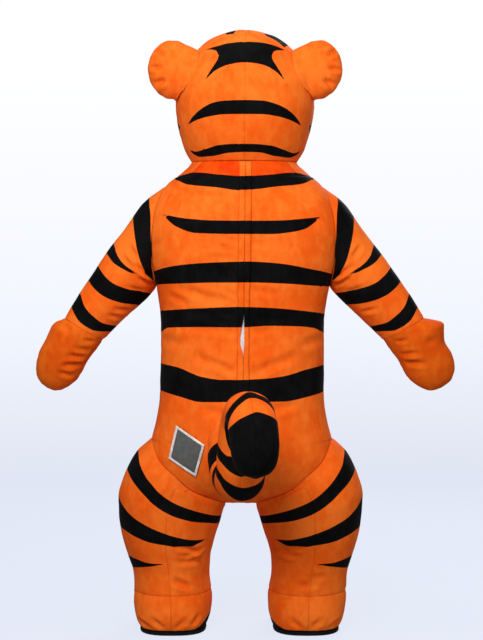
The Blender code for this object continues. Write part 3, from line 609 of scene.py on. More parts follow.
# Each stripe lies between an upper and a lower edge, as (across, height); on sleeves and legs across is
# measured outwards from the centre.
bodyStripes = {
    "collar": ([(-0.241, 1.497), (-0.212, 1.501), (-0.170, 1.507), (-0.084, 1.495), (0.0, 1.488),
                (0.090, 1.495), (0.170, 1.506), (0.204, 1.501), (0.247, 1.495)],
               [(-0.241, 1.495), (-0.217, 1.482), (-0.185, 1.465), (-0.084, 1.450), (-0.016, 1.441),
                (0.026, 1.443), (0.093, 1.452), (0.195, 1.469), (0.224, 1.485), (0.247, 1.493)]),
    "shoulders": ([(-0.262, 1.367), (-0.189, 1.351), (-0.092, 1.343), (0.001, 1.342), (0.116, 1.343),
                   (0.181, 1.349), (0.251, 1.358)],
                  [(-0.262, 1.367), (-0.238, 1.341), (-0.215, 1.324), (-0.153, 1.303), (-0.014, 1.299),
                   (0.088, 1.299), (0.149, 1.305), (0.198, 1.317), (0.227, 1.337), (0.251, 1.358)]),
    "blades": ([(-0.330, 1.171), (-0.290, 1.185), (-0.214, 1.200), (-0.078, 1.209), (0.022, 1.211),
                (0.118, 1.205), (0.216, 1.189), (0.286, 1.177), (0.330, 1.168)],
               [(-0.330, 1.138), (-0.293, 1.140), (-0.184, 1.142), (-0.077, 1.144), (0.022, 1.144),
                (0.151, 1.140), (0.234, 1.135), (0.291, 1.134), (0.330, 1.131)]),
    "waist": ([(-0.330, 1.046), (-0.271, 1.054), (-0.131, 1.062), (-0.012, 1.066), (0.087, 1.063),
               (0.185, 1.055), (0.275, 1.044), (0.330, 1.036)],
              [(-0.330, 0.984), (-0.272, 0.985), (-0.241, 0.999), (-0.131, 1.001), (-0.012, 1.000),
               (0.088, 1.005), (0.186, 1.003), (0.230, 0.998), (0.276, 0.979), (0.330, 0.968)]),
    "hips": ([(-0.330, 0.895), (-0.271, 0.882), (-0.212, 0.871), (-0.129, 0.841), (-0.064, 0.832),
              (-0.019, 0.832), (0.064, 0.835), (0.138, 0.844), (0.204, 0.862), (0.270, 0.877),
              (0.330, 0.895)],
             [(-0.330, 0.803), (-0.269, 0.792), (-0.210, 0.778), (-0.128, 0.760), (-0.032, 0.761),
              (0.065, 0.761), (0.139, 0.762), (0.205, 0.773), (0.270, 0.788), (0.330, 0.805)]),
}
headStripes = {
    "crown": ([(-0.132, 1.906), (-0.092, 1.913), (-0.047, 1.922), (0.002, 1.924), (0.054, 1.922),
               (0.100, 1.914), (0.136, 1.903)],
              [(-0.132, 1.906), (-0.110, 1.902), (-0.094, 1.895), (-0.086, 1.878), (-0.049, 1.867),
               (-0.001, 1.862), (0.047, 1.866), (0.084, 1.876), (0.092, 1.892), (0.110, 1.900),
               (0.136, 1.903)]),
    "crownLow": ([(-0.134, 1.790), (-0.114, 1.826), (-0.099, 1.850), (-0.089, 1.868), (-0.085, 1.884),
                  (0.002, 1.901), (0.083, 1.884), (0.087, 1.866), (0.097, 1.848), (0.112, 1.824),
                  (0.132, 1.787)],
                 [(-0.134, 1.790), (-0.097, 1.826), (-0.052, 1.844), (-0.001, 1.850), (0.054, 1.843),
                  (0.096, 1.824), (0.132, 1.787)]),
    "nape": ([(-0.188, 1.658), (-0.168, 1.684), (-0.135, 1.707), (-0.102, 1.721), (-0.067, 1.726),
              (-0.003, 1.727), (0.055, 1.726), (0.100, 1.717), (0.139, 1.701), (0.166, 1.681),
              (0.188, 1.655)],
             [(-0.188, 1.658), (-0.158, 1.670), (-0.118, 1.678), (-0.066, 1.683), (-0.002, 1.683),
              (0.055, 1.683), (0.114, 1.677), (0.153, 1.668), (0.188, 1.655)]),
    "napeLow": ([(-0.182, 1.584), (-0.158, 1.575), (-0.125, 1.580), (-0.085, 1.589), (-0.043, 1.591),
                 (-0.001, 1.591), (0.044, 1.590), (0.089, 1.587), (0.129, 1.577), (0.160, 1.571),
                 (0.187, 1.582)],
                [(-0.182, 1.584), (-0.165, 1.567), (-0.145, 1.558), (-0.105, 1.557), (-0.053, 1.564),
                 (-0.001, 1.566), (0.051, 1.565), (0.103, 1.556), (0.143, 1.555), (0.167, 1.564),
                 (0.187, 1.582)]),
}
sleeveStripes = {
    "second": ([(0.342, 1.173), (0.364, 1.187), (0.390, 1.206), (0.413, 1.235), (0.427, 1.272),
                (0.453, 1.325)],
               [(0.342, 1.173), (0.364, 1.177), (0.390, 1.189), (0.424, 1.210), (0.451, 1.242),
                (0.479, 1.278)]),
    "third": ([(0.310, 1.114), (0.326, 1.116), (0.359, 1.120), (0.390, 1.129), (0.427, 1.145), (0.457, 1.171),
               (0.479, 1.199), (0.509, 1.241)],
              [(0.300, 1.072), (0.327, 1.073), (0.359, 1.075), (0.387, 1.078), (0.423, 1.087), (0.460, 1.104),
               (0.489, 1.127), (0.512, 1.153), (0.539, 1.194)]),
    "fourth": ([(0.380, 0.998), (0.403, 1.001), (0.425, 1.005), (0.461, 1.014), (0.492, 1.037),
                (0.521, 1.069), (0.537, 1.105), (0.558, 1.158)],
               [(0.380, 0.989), (0.409, 0.988), (0.438, 0.986), (0.458, 0.986), (0.484, 0.988),
                (0.515, 1.002), (0.543, 1.025), (0.563, 1.056), (0.588, 1.094)]),
}
shoulderStripe = {  # beside the armhole: inner and outer edge, as (height, across)
    "inner": [(1.153, 0.295), (1.219, 0.301), (1.244, 0.299), (1.299, 0.303), (1.362, 0.305), (1.431, 0.313),
              (1.465, 0.314)],
    "outer": [(1.153, 0.297), (1.166, 0.309), (1.202, 0.331), (1.253, 0.347), (1.300, 0.357), (1.355, 0.365),
              (1.408, 0.369), (1.465, 0.371)],
}
legStripes = {
    "thigh": ([(0.050, 0.371), (0.078, 0.380), (0.129, 0.398), (0.180, 0.417), (0.228, 0.440), (0.272, 0.473),
               (0.309, 0.514), (0.332, 0.553), (0.341, 0.587), (0.359, 0.630)],
              [(0.050, 0.350), (0.069, 0.351), (0.103, 0.360), (0.154, 0.370), (0.206, 0.386), (0.249, 0.406),
               (0.293, 0.437), (0.330, 0.472), (0.352, 0.494), (0.377, 0.528), (0.402, 0.583)]),
    "knee": ([(0.111, 0.306), (0.154, 0.309), (0.197, 0.319), (0.257, 0.338), (0.310, 0.360), (0.351, 0.382),
              (0.381, 0.408), (0.402, 0.436), (0.421, 0.469)],
             [(0.111, 0.306), (0.137, 0.296), (0.163, 0.289), (0.197, 0.289), (0.248, 0.296), (0.292, 0.303),
              (0.338, 0.317), (0.377, 0.332), (0.398, 0.341), (0.420, 0.376)]),
    "calf": ([(0.235, 0.234), (0.270, 0.233), (0.302, 0.234), (0.339, 0.241), (0.364, 0.245), (0.400, 0.251)],
             [(0.235, 0.234), (0.279, 0.225), (0.316, 0.217), (0.353, 0.207), (0.400, 0.192)]),
}


# A stripe running out to its point keeps this share of its height, less the pinch.
taperForm = {"keep": 0.12, "pinch": 0.03}


def bandDepth(stripe, across, height, wrap):
    # how deep a point lies inside a stripe, in metres, below 0 outside; the stripe tapers as wrap falls to 0
    upper, lower = stripe
    top = curve([p[0] for p in upper], [p[1] for p in upper], across)
    low = curve([p[0] for p in lower], [p[1] for p in lower], across)
    first, last = max(upper[0][0], lower[0][0]), min(upper[-1][0], lower[-1][0])
    if upper[0] == lower[0]:
        out = first - across
    else:
        out = -1 + 0 * across
    if upper[-1] == lower[-1]:
        out = np.maximum(out, across - last)
    keep, pinch = taperForm["keep"], taperForm["pinch"]
    half = (top - low) / 2 * (keep + (1 - keep) * wrap)
    depth = half - abs(height - (top + low) / 2) - pinch * (1 - wrap) ** 3
    return np.where(out > 0, -out, depth) - 1.0 * (wrap <= 0)


def stripesOn(table, mirrored=False):
    def depthAt(points, wrap):
        across = abs(points[:, 0]) if mirrored else points[:, 0]
        return np.max([bandDepth(s, across, points[:, 2], wrap) for s in table.values()], axis=0)
    return depthAt


# Two stripes run forward over the brow, each above its crest, and two lie low on each cheek.
browForm = {
    "start": 0.02, "run": 0.16,
    "right": {"x": 0.0985, "half": 0.0505, "trim": 0.002},
    "left": {"x": -0.049, "half": 0.022, "trim": 0.001, "crest": 1.958},
    "crest": ((0.045, 0.075, 0.10, 0.125, 0.16), (1.958, 1.951, 1.938, 1.918, 1.866)),
}
cheekForm = {
    "inner": 0.100,
    "stripes": (
        {"z": 1.662, "half": 0.030, "start": -0.085, "run": 0.09, "trim": 0.004},
        {"z": 1.600, "half": 0.018, "start": 0.01, "run": 0.08, "trim": 0.003},
    ),
}


def headDepth(points, wrap):
    # the back's stripes, the two over the brow, and the cheeks' own
    x, y, z = points.T
    depths = [stripesOn(headStripes)(points, wrap)]
    taper = np.sqrt(np.clip(1 - ((y - browForm["start"]) / browForm["run"]) ** 2, 0, 1))
    crests = {"right": curve(*browForm["crest"], x), "left": browForm["left"]["crest"]}
    for side, crest in crests.items():
        brow = browForm[side]
        depths.append(np.minimum(brow["half"] * taper - abs(x - brow["x"]) - brow["trim"], z - crest))
    for cheek in cheekForm["stripes"]:
        across = ease((y - cheek["start"]) / cheek["run"])
        depth = cheek["half"] * across - abs(z - cheek["z"]) - cheek["trim"]
        depths.append(np.minimum(depth, abs(x) - cheekForm["inner"]))
    return np.max(depths, axis=0)


footBand = {"height": 0.0165, "inner": 0.150, "run": 0.045, "left": 0.036, "right": 0.022, "bend": 1.6}


def footDepth(side):
    # the sole's black edge shows as a band that climbs at the inner side of the foot
    def depthAt(points, wrap):
        climb = np.maximum(footBand["inner"] - abs(points[:, 0]), 0) / footBand["run"]
        rise = footBand["left"] if side < 0 else footBand["right"]
        return footBand["height"] + rise * climb ** footBand["bend"] - points[:, 2]
    return depthAt


# The right sleeve's stripes sit a little further out than the left's, more so towards the wrist.
sleeveShift = {"out": 0.012, "start": 0.33, "run": 0.2}


def sleeveDepth(points, wrap):
    along = ease((abs(points[:, 0]) - sleeveShift["start"]) / sleeveShift["run"])
    across = abs(points[:, 0]) - sleeveShift["out"] * along * (points[:, 0] > 0)
    depth = np.max([bandDepth(s, across, points[:, 2], wrap) for s in sleeveStripes.values()], axis=0)
    heights, inner = zip(*shoulderStripe["inner"])
    low = curve(heights, inner, points[:, 2])
    heights, outer = zip(*shoulderStripe["outer"])
    high = curve(heights, outer, points[:, 2])
    beside = (high - low) / 2 * wrap - abs(abs(points[:, 0]) - (high + low) / 2)
    beside = np.where(points[:, 2] < heights[0], -1, beside) - 1.0 * (wrap <= 0)
    return np.maximum(depth, beside)


def plainDepth(points, wrap):
    return -1 + 0 * wrap


def givenDepth(points, wrap):
    return wrap


# Where the tail's colour changes, as (degrees round it, place along it): to black, to orange and so on.
tailEdges = (
    ((0, 1.15), (180, 1.05), (360, 1.15)),
    ((0, 1.85), (180, 1.75), (360, 1.85)),
    ((0, 2.40), (180, 2.30), (360, 2.40)),
    ((0, 2.88), (180, 3.05), (360, 2.88)),
    ((0, 3.20), (30, 3.19), (60, 3.28), (180, 3.75), (300, 3.63), (319, 3.46), (338, 3.33), (360, 3.20)),
    ((0, 3.68), (48, 3.71), (90, 3.85), (180, 4.40), (300, 3.97), (320, 3.82), (342, 3.74), (360, 3.68)),
    ((0, 3.98), (60, 4.15), (180, 5.00), (300, 4.38), (315, 4.26), (332, 4.11), (352, 4.01), (360, 3.98)),
    ((0, 4.60), (60, 4.70), (180, 5.90), (290, 4.95), (311, 4.76), (325, 4.64), (360, 4.60)),
    ((0, 4.70), (30, 5.00), (60, 6.00), (110, 7.25), (150, 7.28), (180, 7.12), (206, 7.32), (240, 7.45),
     (280, 7.20), (305, 6.10), (321, 5.30), (338, 4.80), (360, 4.70)),
    ((0, 8.40), (60, 8.25), (104, 7.88), (126, 7.76), (147, 7.64), (180, 7.53), (207, 7.68), (231, 7.81),
     (254, 7.98), (285, 8.30), (360, 8.40)),
    ((0, 8.20), (115, 8.17), (144, 8.15), (173, 8.09), (194, 8.15), (218, 8.20), (241, 8.25), (285, 8.22),
     (360, 8.20)),
)


def tailDepth(turn, t):
    degrees = np.degrees(turn)
    edges = [curve([e[0] for e in edge], [e[1] for e in edge], degrees) for edge in tailEdges] + [99 + 0 * t]
    depth = -1 + 0 * t
    for start, end in zip(edges[0::2], edges[1::2]):
        depth = np.maximum(depth, np.minimum(t - start, end - t) * tailForm["pitch"])
    return depth


# Each crease runs through a few points (across, height) on one side; its width and its depth in metres,
# below 0 for a ridge.

creases = {
    "back": [
        ([(-0.222, 1.440), (-0.140, 1.424), (-0.016, 1.409)], 0.010, 0.0030),
        ([(-0.106, 1.400), (-0.016, 1.406)], 0.007, 0.0032),
        ([(-0.120, 1.412), (-0.020, 1.400)], 0.009, -0.0022),
        ([(-0.075, 1.290), (-0.014, 1.272)], 0.007, 0.0024),
        ([(-0.090, 1.262), (-0.014, 1.245)], 0.008, 0.0026),
        ([(-0.060, 1.310), (-0.014, 1.303)], 0.006, 0.0020),
        ([(-0.130, 1.225), (-0.016, 1.222)], 0.009, 0.0020),
        ([(-0.055, 1.252), (-0.014, 1.236)], 0.005, -0.0018),
        ([(-0.075, 1.195), (-0.050, 1.150)], 0.012, 0.0040),
        ([(-0.045, 1.200), (-0.025, 1.152)], 0.010, 0.0030),
        ([(-0.210, 1.130), (-0.110, 1.095), (-0.020, 1.083)], 0.012, 0.0030),
        ([(-0.240, 1.105), (-0.170, 1.078)], 0.010, 0.0026),
        ([(-0.060, 1.120), (-0.014, 1.100)], 0.007, 0.0024),
        ([(-0.040, 1.080), (-0.014, 1.066)], 0.006, 0.0024),
        ([(-0.170, 1.048), (-0.080, 1.036), (-0.016, 1.030)], 0.010, 0.0040),
        ([(-0.140, 1.026), (-0.020, 1.012)], 0.009, 0.0036),
        ([(-0.100, 1.040), (-0.020, 1.024)], 0.008, -0.0030),
        ([(-0.200, 1.000), (-0.060, 0.992), (-0.012, 0.985)], 0.011, 0.0030),
        ([(0.030, 1.030), (0.150, 1.020)], 0.010, 0.0026), ([(0.020, 0.985), (0.130, 0.994)], 0.010, 0.0024),
        ([(-0.150, 0.905), (-0.060, 0.868), (-0.016, 0.850)], 0.013, 0.0034),
        ([(0.030, 0.852), (0.100, 0.880), (0.180, 0.910)], 0.013, 0.0032),
        ([(-0.110, 0.880), (-0.030, 0.838)], 0.010, -0.0024),
        ([(0.022, 1.270), (0.090, 1.262)], 0.008, 0.0018),
        ([(0.024, 1.395), (0.100, 1.410)], 0.008, 0.0022), ([(0.024, 1.120), (0.120, 1.110)], 0.010, 0.0018),
        ([(-0.260, 0.960), (-0.190, 0.945)], 0.014, 0.0028),
        ([(0.190, 0.945), (0.262, 0.962)], 0.014, 0.0028),
        ([(-0.235, 1.300), (-0.285, 1.255)], 0.012, 0.0022),
        ([(0.240, 1.290), (0.290, 1.250)], 0.012, 0.0022),
        ([(-0.120, 0.735), (-0.050, 0.720)], 0.012, 0.0030),
        ([(0.090, 0.735), (0.180, 0.750)], 0.012, 0.0026),
        ([(-0.374, 1.263), (-0.346, 1.225)], 0.008, 0.0036),
        ([(-0.385, 1.240), (-0.352, 1.205)], 0.007, -0.0030),
        ([(-0.350, 1.200), (-0.302, 1.165)], 0.007, 0.0040),
        ([(-0.345, 1.178), (-0.300, 1.150)], 0.007, -0.0034),
        ([(-0.338, 1.160), (-0.300, 1.138)], 0.006, 0.0038),
        ([(-0.375, 1.130), (-0.330, 1.118)], 0.008, 0.0030),
        ([(-0.420, 1.060), (-0.372, 1.055)], 0.007, 0.0028),
        ([(-0.440, 1.040), (-0.400, 1.030)], 0.007, 0.0026),
        ([(0.384, 1.263), (0.356, 1.225)], 0.008, 0.0036), ([(0.360, 1.200), (0.305, 1.165)], 0.007, 0.0040),
        ([(0.350, 1.178), (0.302, 1.150)], 0.007, -0.0034), ([(0.395, 1.130), (0.340, 1.115)], 0.009, 0.0032),
        ([(0.440, 1.060), (0.392, 1.050)], 0.007, 0.0028), ([(0.345, 1.158), (0.302, 1.137)], 0.006, 0.0036),
        ([(-0.520, 0.958), (-0.490, 0.952)], 0.006, 0.0032),
        ([(-0.550, 0.930), (-0.506, 0.922)], 0.008, 0.0034),
        ([(-0.575, 0.905), (-0.520, 0.902)], 0.009, 0.0034),
        ([(-0.590, 0.872), (-0.535, 0.880)], 0.009, 0.0040),
        ([(-0.560, 0.890), (-0.525, 0.890)], 0.007, -0.0026),
        ([(-0.600, 0.850), (-0.560, 0.838)], 0.008, 0.0036),
        ([(0.540, 0.958), (0.505, 0.950)], 0.006, 0.0032), ([(0.580, 0.915), (0.525, 0.908)], 0.008, 0.0036),
        ([(0.600, 0.880), (0.540, 0.882)], 0.009, 0.0040), ([(0.640, 0.960), (0.600, 0.948)], 0.010, 0.0026),
        ([(-0.590, 1.000), (-0.560, 0.985)], 0.010, 0.0022),
        ([(-0.205, 0.290), (-0.150, 0.272), (-0.118, 0.268)], 0.008, 0.0046),
        ([(-0.190, 0.262), (-0.150, 0.256)], 0.008, 0.0040),
        ([(-0.165, 0.250), (-0.112, 0.272)], 0.008, -0.0034),
        ([(-0.200, 0.240), (-0.130, 0.238)], 0.010, 0.0032),
        ([(0.205, 0.290), (0.150, 0.276), (0.112, 0.272)], 0.008, 0.0046),
        ([(0.190, 0.258), (0.140, 0.262)], 0.008, 0.0038),
        ([(0.165, 0.246), (0.116, 0.258)], 0.009, -0.0034),
        ([(-0.300, 0.450), (-0.330, 0.420)], 0.014, 0.0024),
        ([(-0.212, 0.176), (-0.178, 0.160), (-0.160, 0.150)], 0.010, 0.0050),
        ([(0.250, 0.168), (0.190, 0.158)], 0.010, 0.0048),
        ([(0.270, 0.190), (0.210, 0.182)], 0.009, 0.0030),
        ([(-0.300, 0.470), (-0.260, 0.520)], 0.018, 0.0026),
        ([(-0.325, 0.040), (-0.285, 0.022)], 0.009, 0.0040),
        ([(-0.280, 0.050), (-0.245, 0.024)], 0.009, 0.0036),
        ([(-0.180, 0.050), (-0.205, 0.022)], 0.009, 0.0036),
        ([(-0.135, 0.060), (-0.160, 0.030)], 0.009, 0.0034),
        ([(0.325, 0.040), (0.285, 0.022)], 0.009, 0.0040), ([(0.260, 0.052), (0.232, 0.022)], 0.009, 0.0036),
        ([(0.170, 0.050), (0.200, 0.022)], 0.009, 0.0038),
        ([(-0.226, 0.120), (-0.228, 0.030)], 0.007, 0.0030),
        ([(-0.295, 1.905), (-0.262, 1.886)], 0.008, 0.0060),
        ([(-0.306, 1.850), (-0.268, 1.848)], 0.007, 0.0050),
        ([(-0.290, 1.795), (-0.262, 1.812)], 0.009, 0.0070),
        ([(0.296, 1.905), (0.264, 1.884)], 0.008, 0.0060),
        ([(0.308, 1.842), (0.270, 1.846)], 0.007, 0.0050), ([(0.286, 1.792), (0.258, 1.810)], 0.009, 0.0070),
    ],
    "front": [
        ([(-0.220, 1.060), (-0.080, 1.036), (0.060, 1.040), (0.180, 1.062)], 0.014, 0.0034),
        ([(-0.150, 0.995), (0.020, 0.975), (0.140, 0.990)], 0.013, 0.0028),
        ([(-0.285, 1.170), (-0.200, 1.130)], 0.012, 0.0036),
        ([(0.285, 1.170), (0.205, 1.125)], 0.012, 0.0036),
        ([(-0.200, 0.700), (-0.120, 0.640), (-0.060, 0.560)], 0.014, 0.0034),
        ([(0.200, 0.705), (0.125, 0.640), (0.060, 0.565)], 0.014, 0.0034),
        ([(-0.350, 1.200), (-0.302, 1.160)], 0.008, 0.0038),
        ([(0.355, 1.200), (0.305, 1.160)], 0.008, 0.0038),
        ([(-0.420, 1.060), (-0.372, 1.050)], 0.008, 0.0030),
        ([(0.430, 1.062), (0.382, 1.052)], 0.008, 0.0030),
        ([(-0.590, 0.880), (-0.530, 0.890)], 0.009, 0.0036),
        ([(0.600, 0.885), (0.540, 0.890)], 0.009, 0.0036),
        ([(-0.280, 0.300), (-0.200, 0.282), (-0.130, 0.290)], 0.011, 0.0040),
        ([(0.280, 0.305), (0.200, 0.284), (0.130, 0.290)], 0.011, 0.0040),
        ([(-0.290, 0.150), (-0.220, 0.136), (-0.150, 0.146)], 0.011, 0.0044),
        ([(0.290, 0.150), (0.220, 0.136), (0.150, 0.146)], 0.011, 0.0044),
        ([(-0.090, 1.440), (0.000, 1.425), (0.090, 1.440)], 0.012, 0.0024),
    ],
}


def placed(points):
    # the lean and the move into the shared frame
    points = np.array(points, float)
    points[:, 0] += form["lean"] * (points[:, 2] - form["level"]) + form["shift"][0]
    points[:, 1] += form["shift"][1]
    return points


cadCloth = bmesh.new()
for nodeName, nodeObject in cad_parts.items():
    if not nodeName.startswith(("tail", "placket", "vent", "zip", "muzzle", "nose", "eye", "sole")):
        cadCloth.from_mesh(nodeObject.data)
cadTree = BVHTree.FromBMesh(cadCloth)
cadCloth.free()
creaseLines = []
for sideName, rows in creases.items():
    start, way = (-2, Vector((0, 1, 0))) if sideName == "back" else (2, Vector((0, -1, 0)))
    for line, width, depth in rows:
        dense = []
        for a, b in zip(line, line[1:]):
            dense += [(a[0] + (b[0] - a[0]) * k / 4, a[1] + (b[1] - a[1]) * k / 4) for k in range(4)]
        dense.append(line[-1])
        hits = []
        for x, z in dense:
            p = placed([(x, 0, z)])[0]
            hit = cadTree.ray_cast(Vector((p[0], start, p[2])), way)[0]
            if hit is not None:
                hits.append(np.array(hit))
        if len(hits) > 1:
            creaseLines.append((np.array(hits), width, depth))
print("creases", len(creaseLines))


# A crease starts a little way into its taper, and has a soft rim on each side of its groove.
creaseForm = {"start": 0.08, "taper": 0.7, "rim": 0.35, "rimAt": 1.9, "rimWidth": 0.8}
waves = {"slow": (9.0, 0.0030), "quick": (27.0, 0.0011), "offset": (5, 2, 9)}


def reliefAt(points):
    total = np.zeros(len(points))
    for line, width, depth in creaseLines:
        low, high = line.min(0) - 4 * width, line.max(0) + 4 * width
        near = np.flatnonzero(((points > low) & (points < high)).all(1))
        if not len(near):
            continue
        p = points[near]
        best = np.full(len(near), 1e9)
        place = np.zeros(len(near))
        run = np.concatenate([[0], np.cumsum(np.linalg.norm(np.diff(line, axis=0), axis=1))])
        for k in range(len(line) - 1):
            step = line[k + 1] - line[k]
            t = np.clip(((p - line[k]) @ step) / (step @ step), 0, 1)
            d = np.linalg.norm(p - line[k] - t[:, None] * step, axis=1)
            closer = d < best
            best[closer] = d[closer]
            place[closer] = ((run[k] + t * (run[k + 1] - run[k])) / run[-1])[closer]
        start = creaseForm["start"]
        taper = np.sin(math.pi * np.clip(start + (1 - start) * place, 0, 1)) ** creaseForm["taper"]
        r = best / width
        rim = np.exp(-((r - creaseForm["rimAt"]) / creaseForm["rimWidth"]) ** 2)
        total[near] -= depth * taper * (np.exp(-r ** 2) - creaseForm["rim"] * rim)
    return total


def undulation(points, strength):
    (slowScale, slowRise), (quickScale, quickRise) = waves["slow"], waves["quick"]
    offset = Vector(waves["offset"])
    slow = np.array([noise.noise(Vector(p) * slowScale) for p in points])
    quick = np.array([noise.noise(Vector(p) * quickScale + offset) for p in points])
    return strength * (slowRise * slow + quickRise * quick)


# Plush, tape, binding, mesh and rubber.
def groupInput(group, name, kind, value):
    socket = group.interface.new_socket(name=name, in_out="INPUT", socket_type=kind)
    socket.default_value = value


def buildNap():
    # brushed pile: slow patches, short strokes and fine fibre, as one mask and one height
    group = bpy.data.node_groups.new("plushNap", "ShaderNodeTree")
    groupInput(group, "Patches", "NodeSocketFloat", 7.0)
    groupInput(group, "Strokes", "NodeSocketFloat", 40.0)
    groupInput(group, "Fibre", "NodeSocketFloat", 900.0)
    group.interface.new_socket(name="Mask", in_out="OUTPUT", socket_type="NodeSocketFloat")
    group.interface.new_socket(name="Height", in_out="OUTPUT", socket_type="NodeSocketFloat")
    inputs = nodeOf(group, "NodeGroupInput")
    outputs = nodeOf(group, "NodeGroupOutput")
    place = nodeOf(group, "ShaderNodeTexCoord").outputs["Object"]
    stretch = nodeOf(group, "ShaderNodeMapping")
    stretch.inputs["Scale"].default_value = (1.0, 1.0, 0.62)
    group.links.new(place, stretch.inputs["Vector"])
    made = []
    layers = (("Patches", place, 4.0, 0.6), ("Strokes", stretch.outputs[0], 3.0, 0.4),
              ("Fibre", place, 2.0, 0.0))
    for key, vector, detail, distortion in layers:
        texture = nodeOf(group, "ShaderNodeTexNoise")
        texture.inputs["Detail"].default_value = detail
        texture.inputs["Distortion"].default_value = distortion
        group.links.new(vector, texture.inputs["Vector"])
        group.links.new(inputs.outputs[key], texture.inputs["Scale"])
        made.append(texture.outputs["Fac"])
    blend = nodeOf(group, "ShaderNodeMix")
    blend.inputs["Factor"].default_value = 0.42
    group.links.new(made[0], blend.inputs["A"])
    group.links.new(made[1], blend.inputs["B"])
    spread = nodeOf(group, "ShaderNodeMapRange")
    spread.inputs["From Min"].default_value = 0.40
    spread.inputs["From Max"].default_value = 0.60
    group.links.new(blend.outputs["Result"], spread.inputs["Value"])
    group.links.new(spread.outputs[0], outputs.inputs["Mask"])
    rough = nodeOf(group, "ShaderNodeMix")
    rough.inputs["Factor"].default_value = 0.35
    group.links.new(made[2], rough.inputs["A"])
    group.links.new(made[1], rough.inputs["B"])
    group.links.new(rough.outputs["Result"], outputs.inputs["Height"])
    return group


napGroup = buildNap()


def colorMix(tree, fac, a, b):
    node = nodeOf(tree, "ShaderNodeMix", data_type="RGBA")
    for value, socket in ((fac, node.inputs["Factor"]), (a, node.inputs["A"]), (b, node.inputs["B"])):
        if isinstance(value, (tuple, float, int)):
            socket.default_value = value
        else:
            tree.links.new(value, socket)
    return node.outputs["Result"]


def mapRange(tree, value, low, high, outLow=0.0, outHigh=1.0):
    node = nodeOf(tree, "ShaderNodeMapRange")
    node.interpolation_type = "SMOOTHSTEP"
    for key, number in (("From Min", low), ("From Max", high), ("To Min", outLow), ("To Max", outHigh)):
        node.inputs[key].default_value = number
    tree.links.new(value, node.inputs["Value"])
    return node.outputs[0]


def attribute(tree, name):
    return nodeOf(tree, "ShaderNodeAttribute", attribute_name=name).outputs["Fac"]


# seam is the painted shade colour laid along every seam
plushLook = {
    "light": (0.975, 0.178, 0.016, 1), "deep": (0.905, 0.112, 0.005, 1), "black": (0.0008, 0.0008, 0.0009, 1),
    "blackNap": (0.0036, 0.0036, 0.0038, 1), "roughness": 0.82, "sheen": 0.012, "sheenRoughness": 0.35,
    "bump": 0.22, "seamBump": 0.16, "edge": 0.0007, "specular": 0.07, "sheenTint": (1.0, 0.72, 0.55, 1),
    "seam": (0.52, 0.045, 0.0, 1), "patches": 7.0, "strokes": 42.0, "fibre": 800.0,
}


def plushMaterial(name, light, deep, striped=True):
    material, tree, shader = newMaterial(name)
    nap = nodeOf(tree, "ShaderNodeGroup")
    nap.node_tree = napGroup
    nap.inputs["Patches"].default_value = plushLook["patches"]
    nap.inputs["Strokes"].default_value = plushLook["strokes"]
    nap.inputs["Fibre"].default_value = plushLook["fibre"]
    color = colorMix(tree, nap.outputs["Mask"], deep, light)
    seam = mapRange(tree, attribute(tree, "seam"), 0.0, 0.0045)
    # painted shade: the colour turns darker and redder along every seam, for the shade in the seam's groove
    seamShadeMix = mapRange(tree, attribute(tree, "seam"), 0.0, 0.003, 0.80, 1.0)
    color = colorMix(tree, seamShadeMix, plushLook["seam"], color)
    if striped:
        mask = mapRange(tree, attribute(tree, "stripe"), -plushLook["edge"], plushLook["edge"])
        dark = colorMix(tree, nap.outputs["Mask"], plushLook["black"], plushLook["blackNap"])
        color = colorMix(tree, mask, color, dark)
    tree.links.new(color, shader.inputs["Base Color"])
    shader.inputs["Roughness"].default_value = plushLook["roughness"]
    shader.inputs["Specular IOR Level"].default_value = plushLook["specular"]
    shader.inputs["Sheen Weight"].default_value = plushLook["sheen"]
    shader.inputs["Sheen Roughness"].default_value = plushLook["sheenRoughness"]
    shader.inputs["Sheen Tint"].default_value = plushLook["sheenTint"]
    fine = nodeOf(tree, "ShaderNodeBump")
    fine.inputs["Strength"].default_value = plushLook["bump"]
    fine.inputs["Distance"].default_value = 0.0012
    tree.links.new(nap.outputs["Height"], fine.inputs["Height"])
    sewn = nodeOf(tree, "ShaderNodeBump")
    sewn.inputs["Strength"].default_value = plushLook["seamBump"]
    sewn.inputs["Distance"].default_value = 0.002
    tree.links.new(seam, sewn.inputs["Height"])
    tree.links.new(fine.outputs[0], sewn.inputs["Normal"])
    tree.links.new(sewn.outputs[0], shader.inputs["Normal"])
    return material


def plainMaterial(name, dark, light, scale, roughness, bump, specular=0.5):
    material, tree, shader = newMaterial(name)
    nap = nodeOf(tree, "ShaderNodeGroup")
    nap.node_tree = napGroup
    nap.inputs["Patches"].default_value = scale / 8
    nap.inputs["Strokes"].default_value = scale
    nap.inputs["Fibre"].default_value = 900.0
    tree.links.new(colorMix(tree, nap.outputs["Mask"], dark, light), shader.inputs["Base Color"])
    shader.inputs["Roughness"].default_value = roughness
    shader.inputs["Specular IOR Level"].default_value = specular
    node = nodeOf(tree, "ShaderNodeBump")
    node.inputs["Strength"].default_value = bump
    node.inputs["Distance"].default_value = 0.001
    tree.links.new(nap.outputs["Height"], node.inputs["Height"])
    tree.links.new(node.outputs[0], shader.inputs["Normal"])
    return material


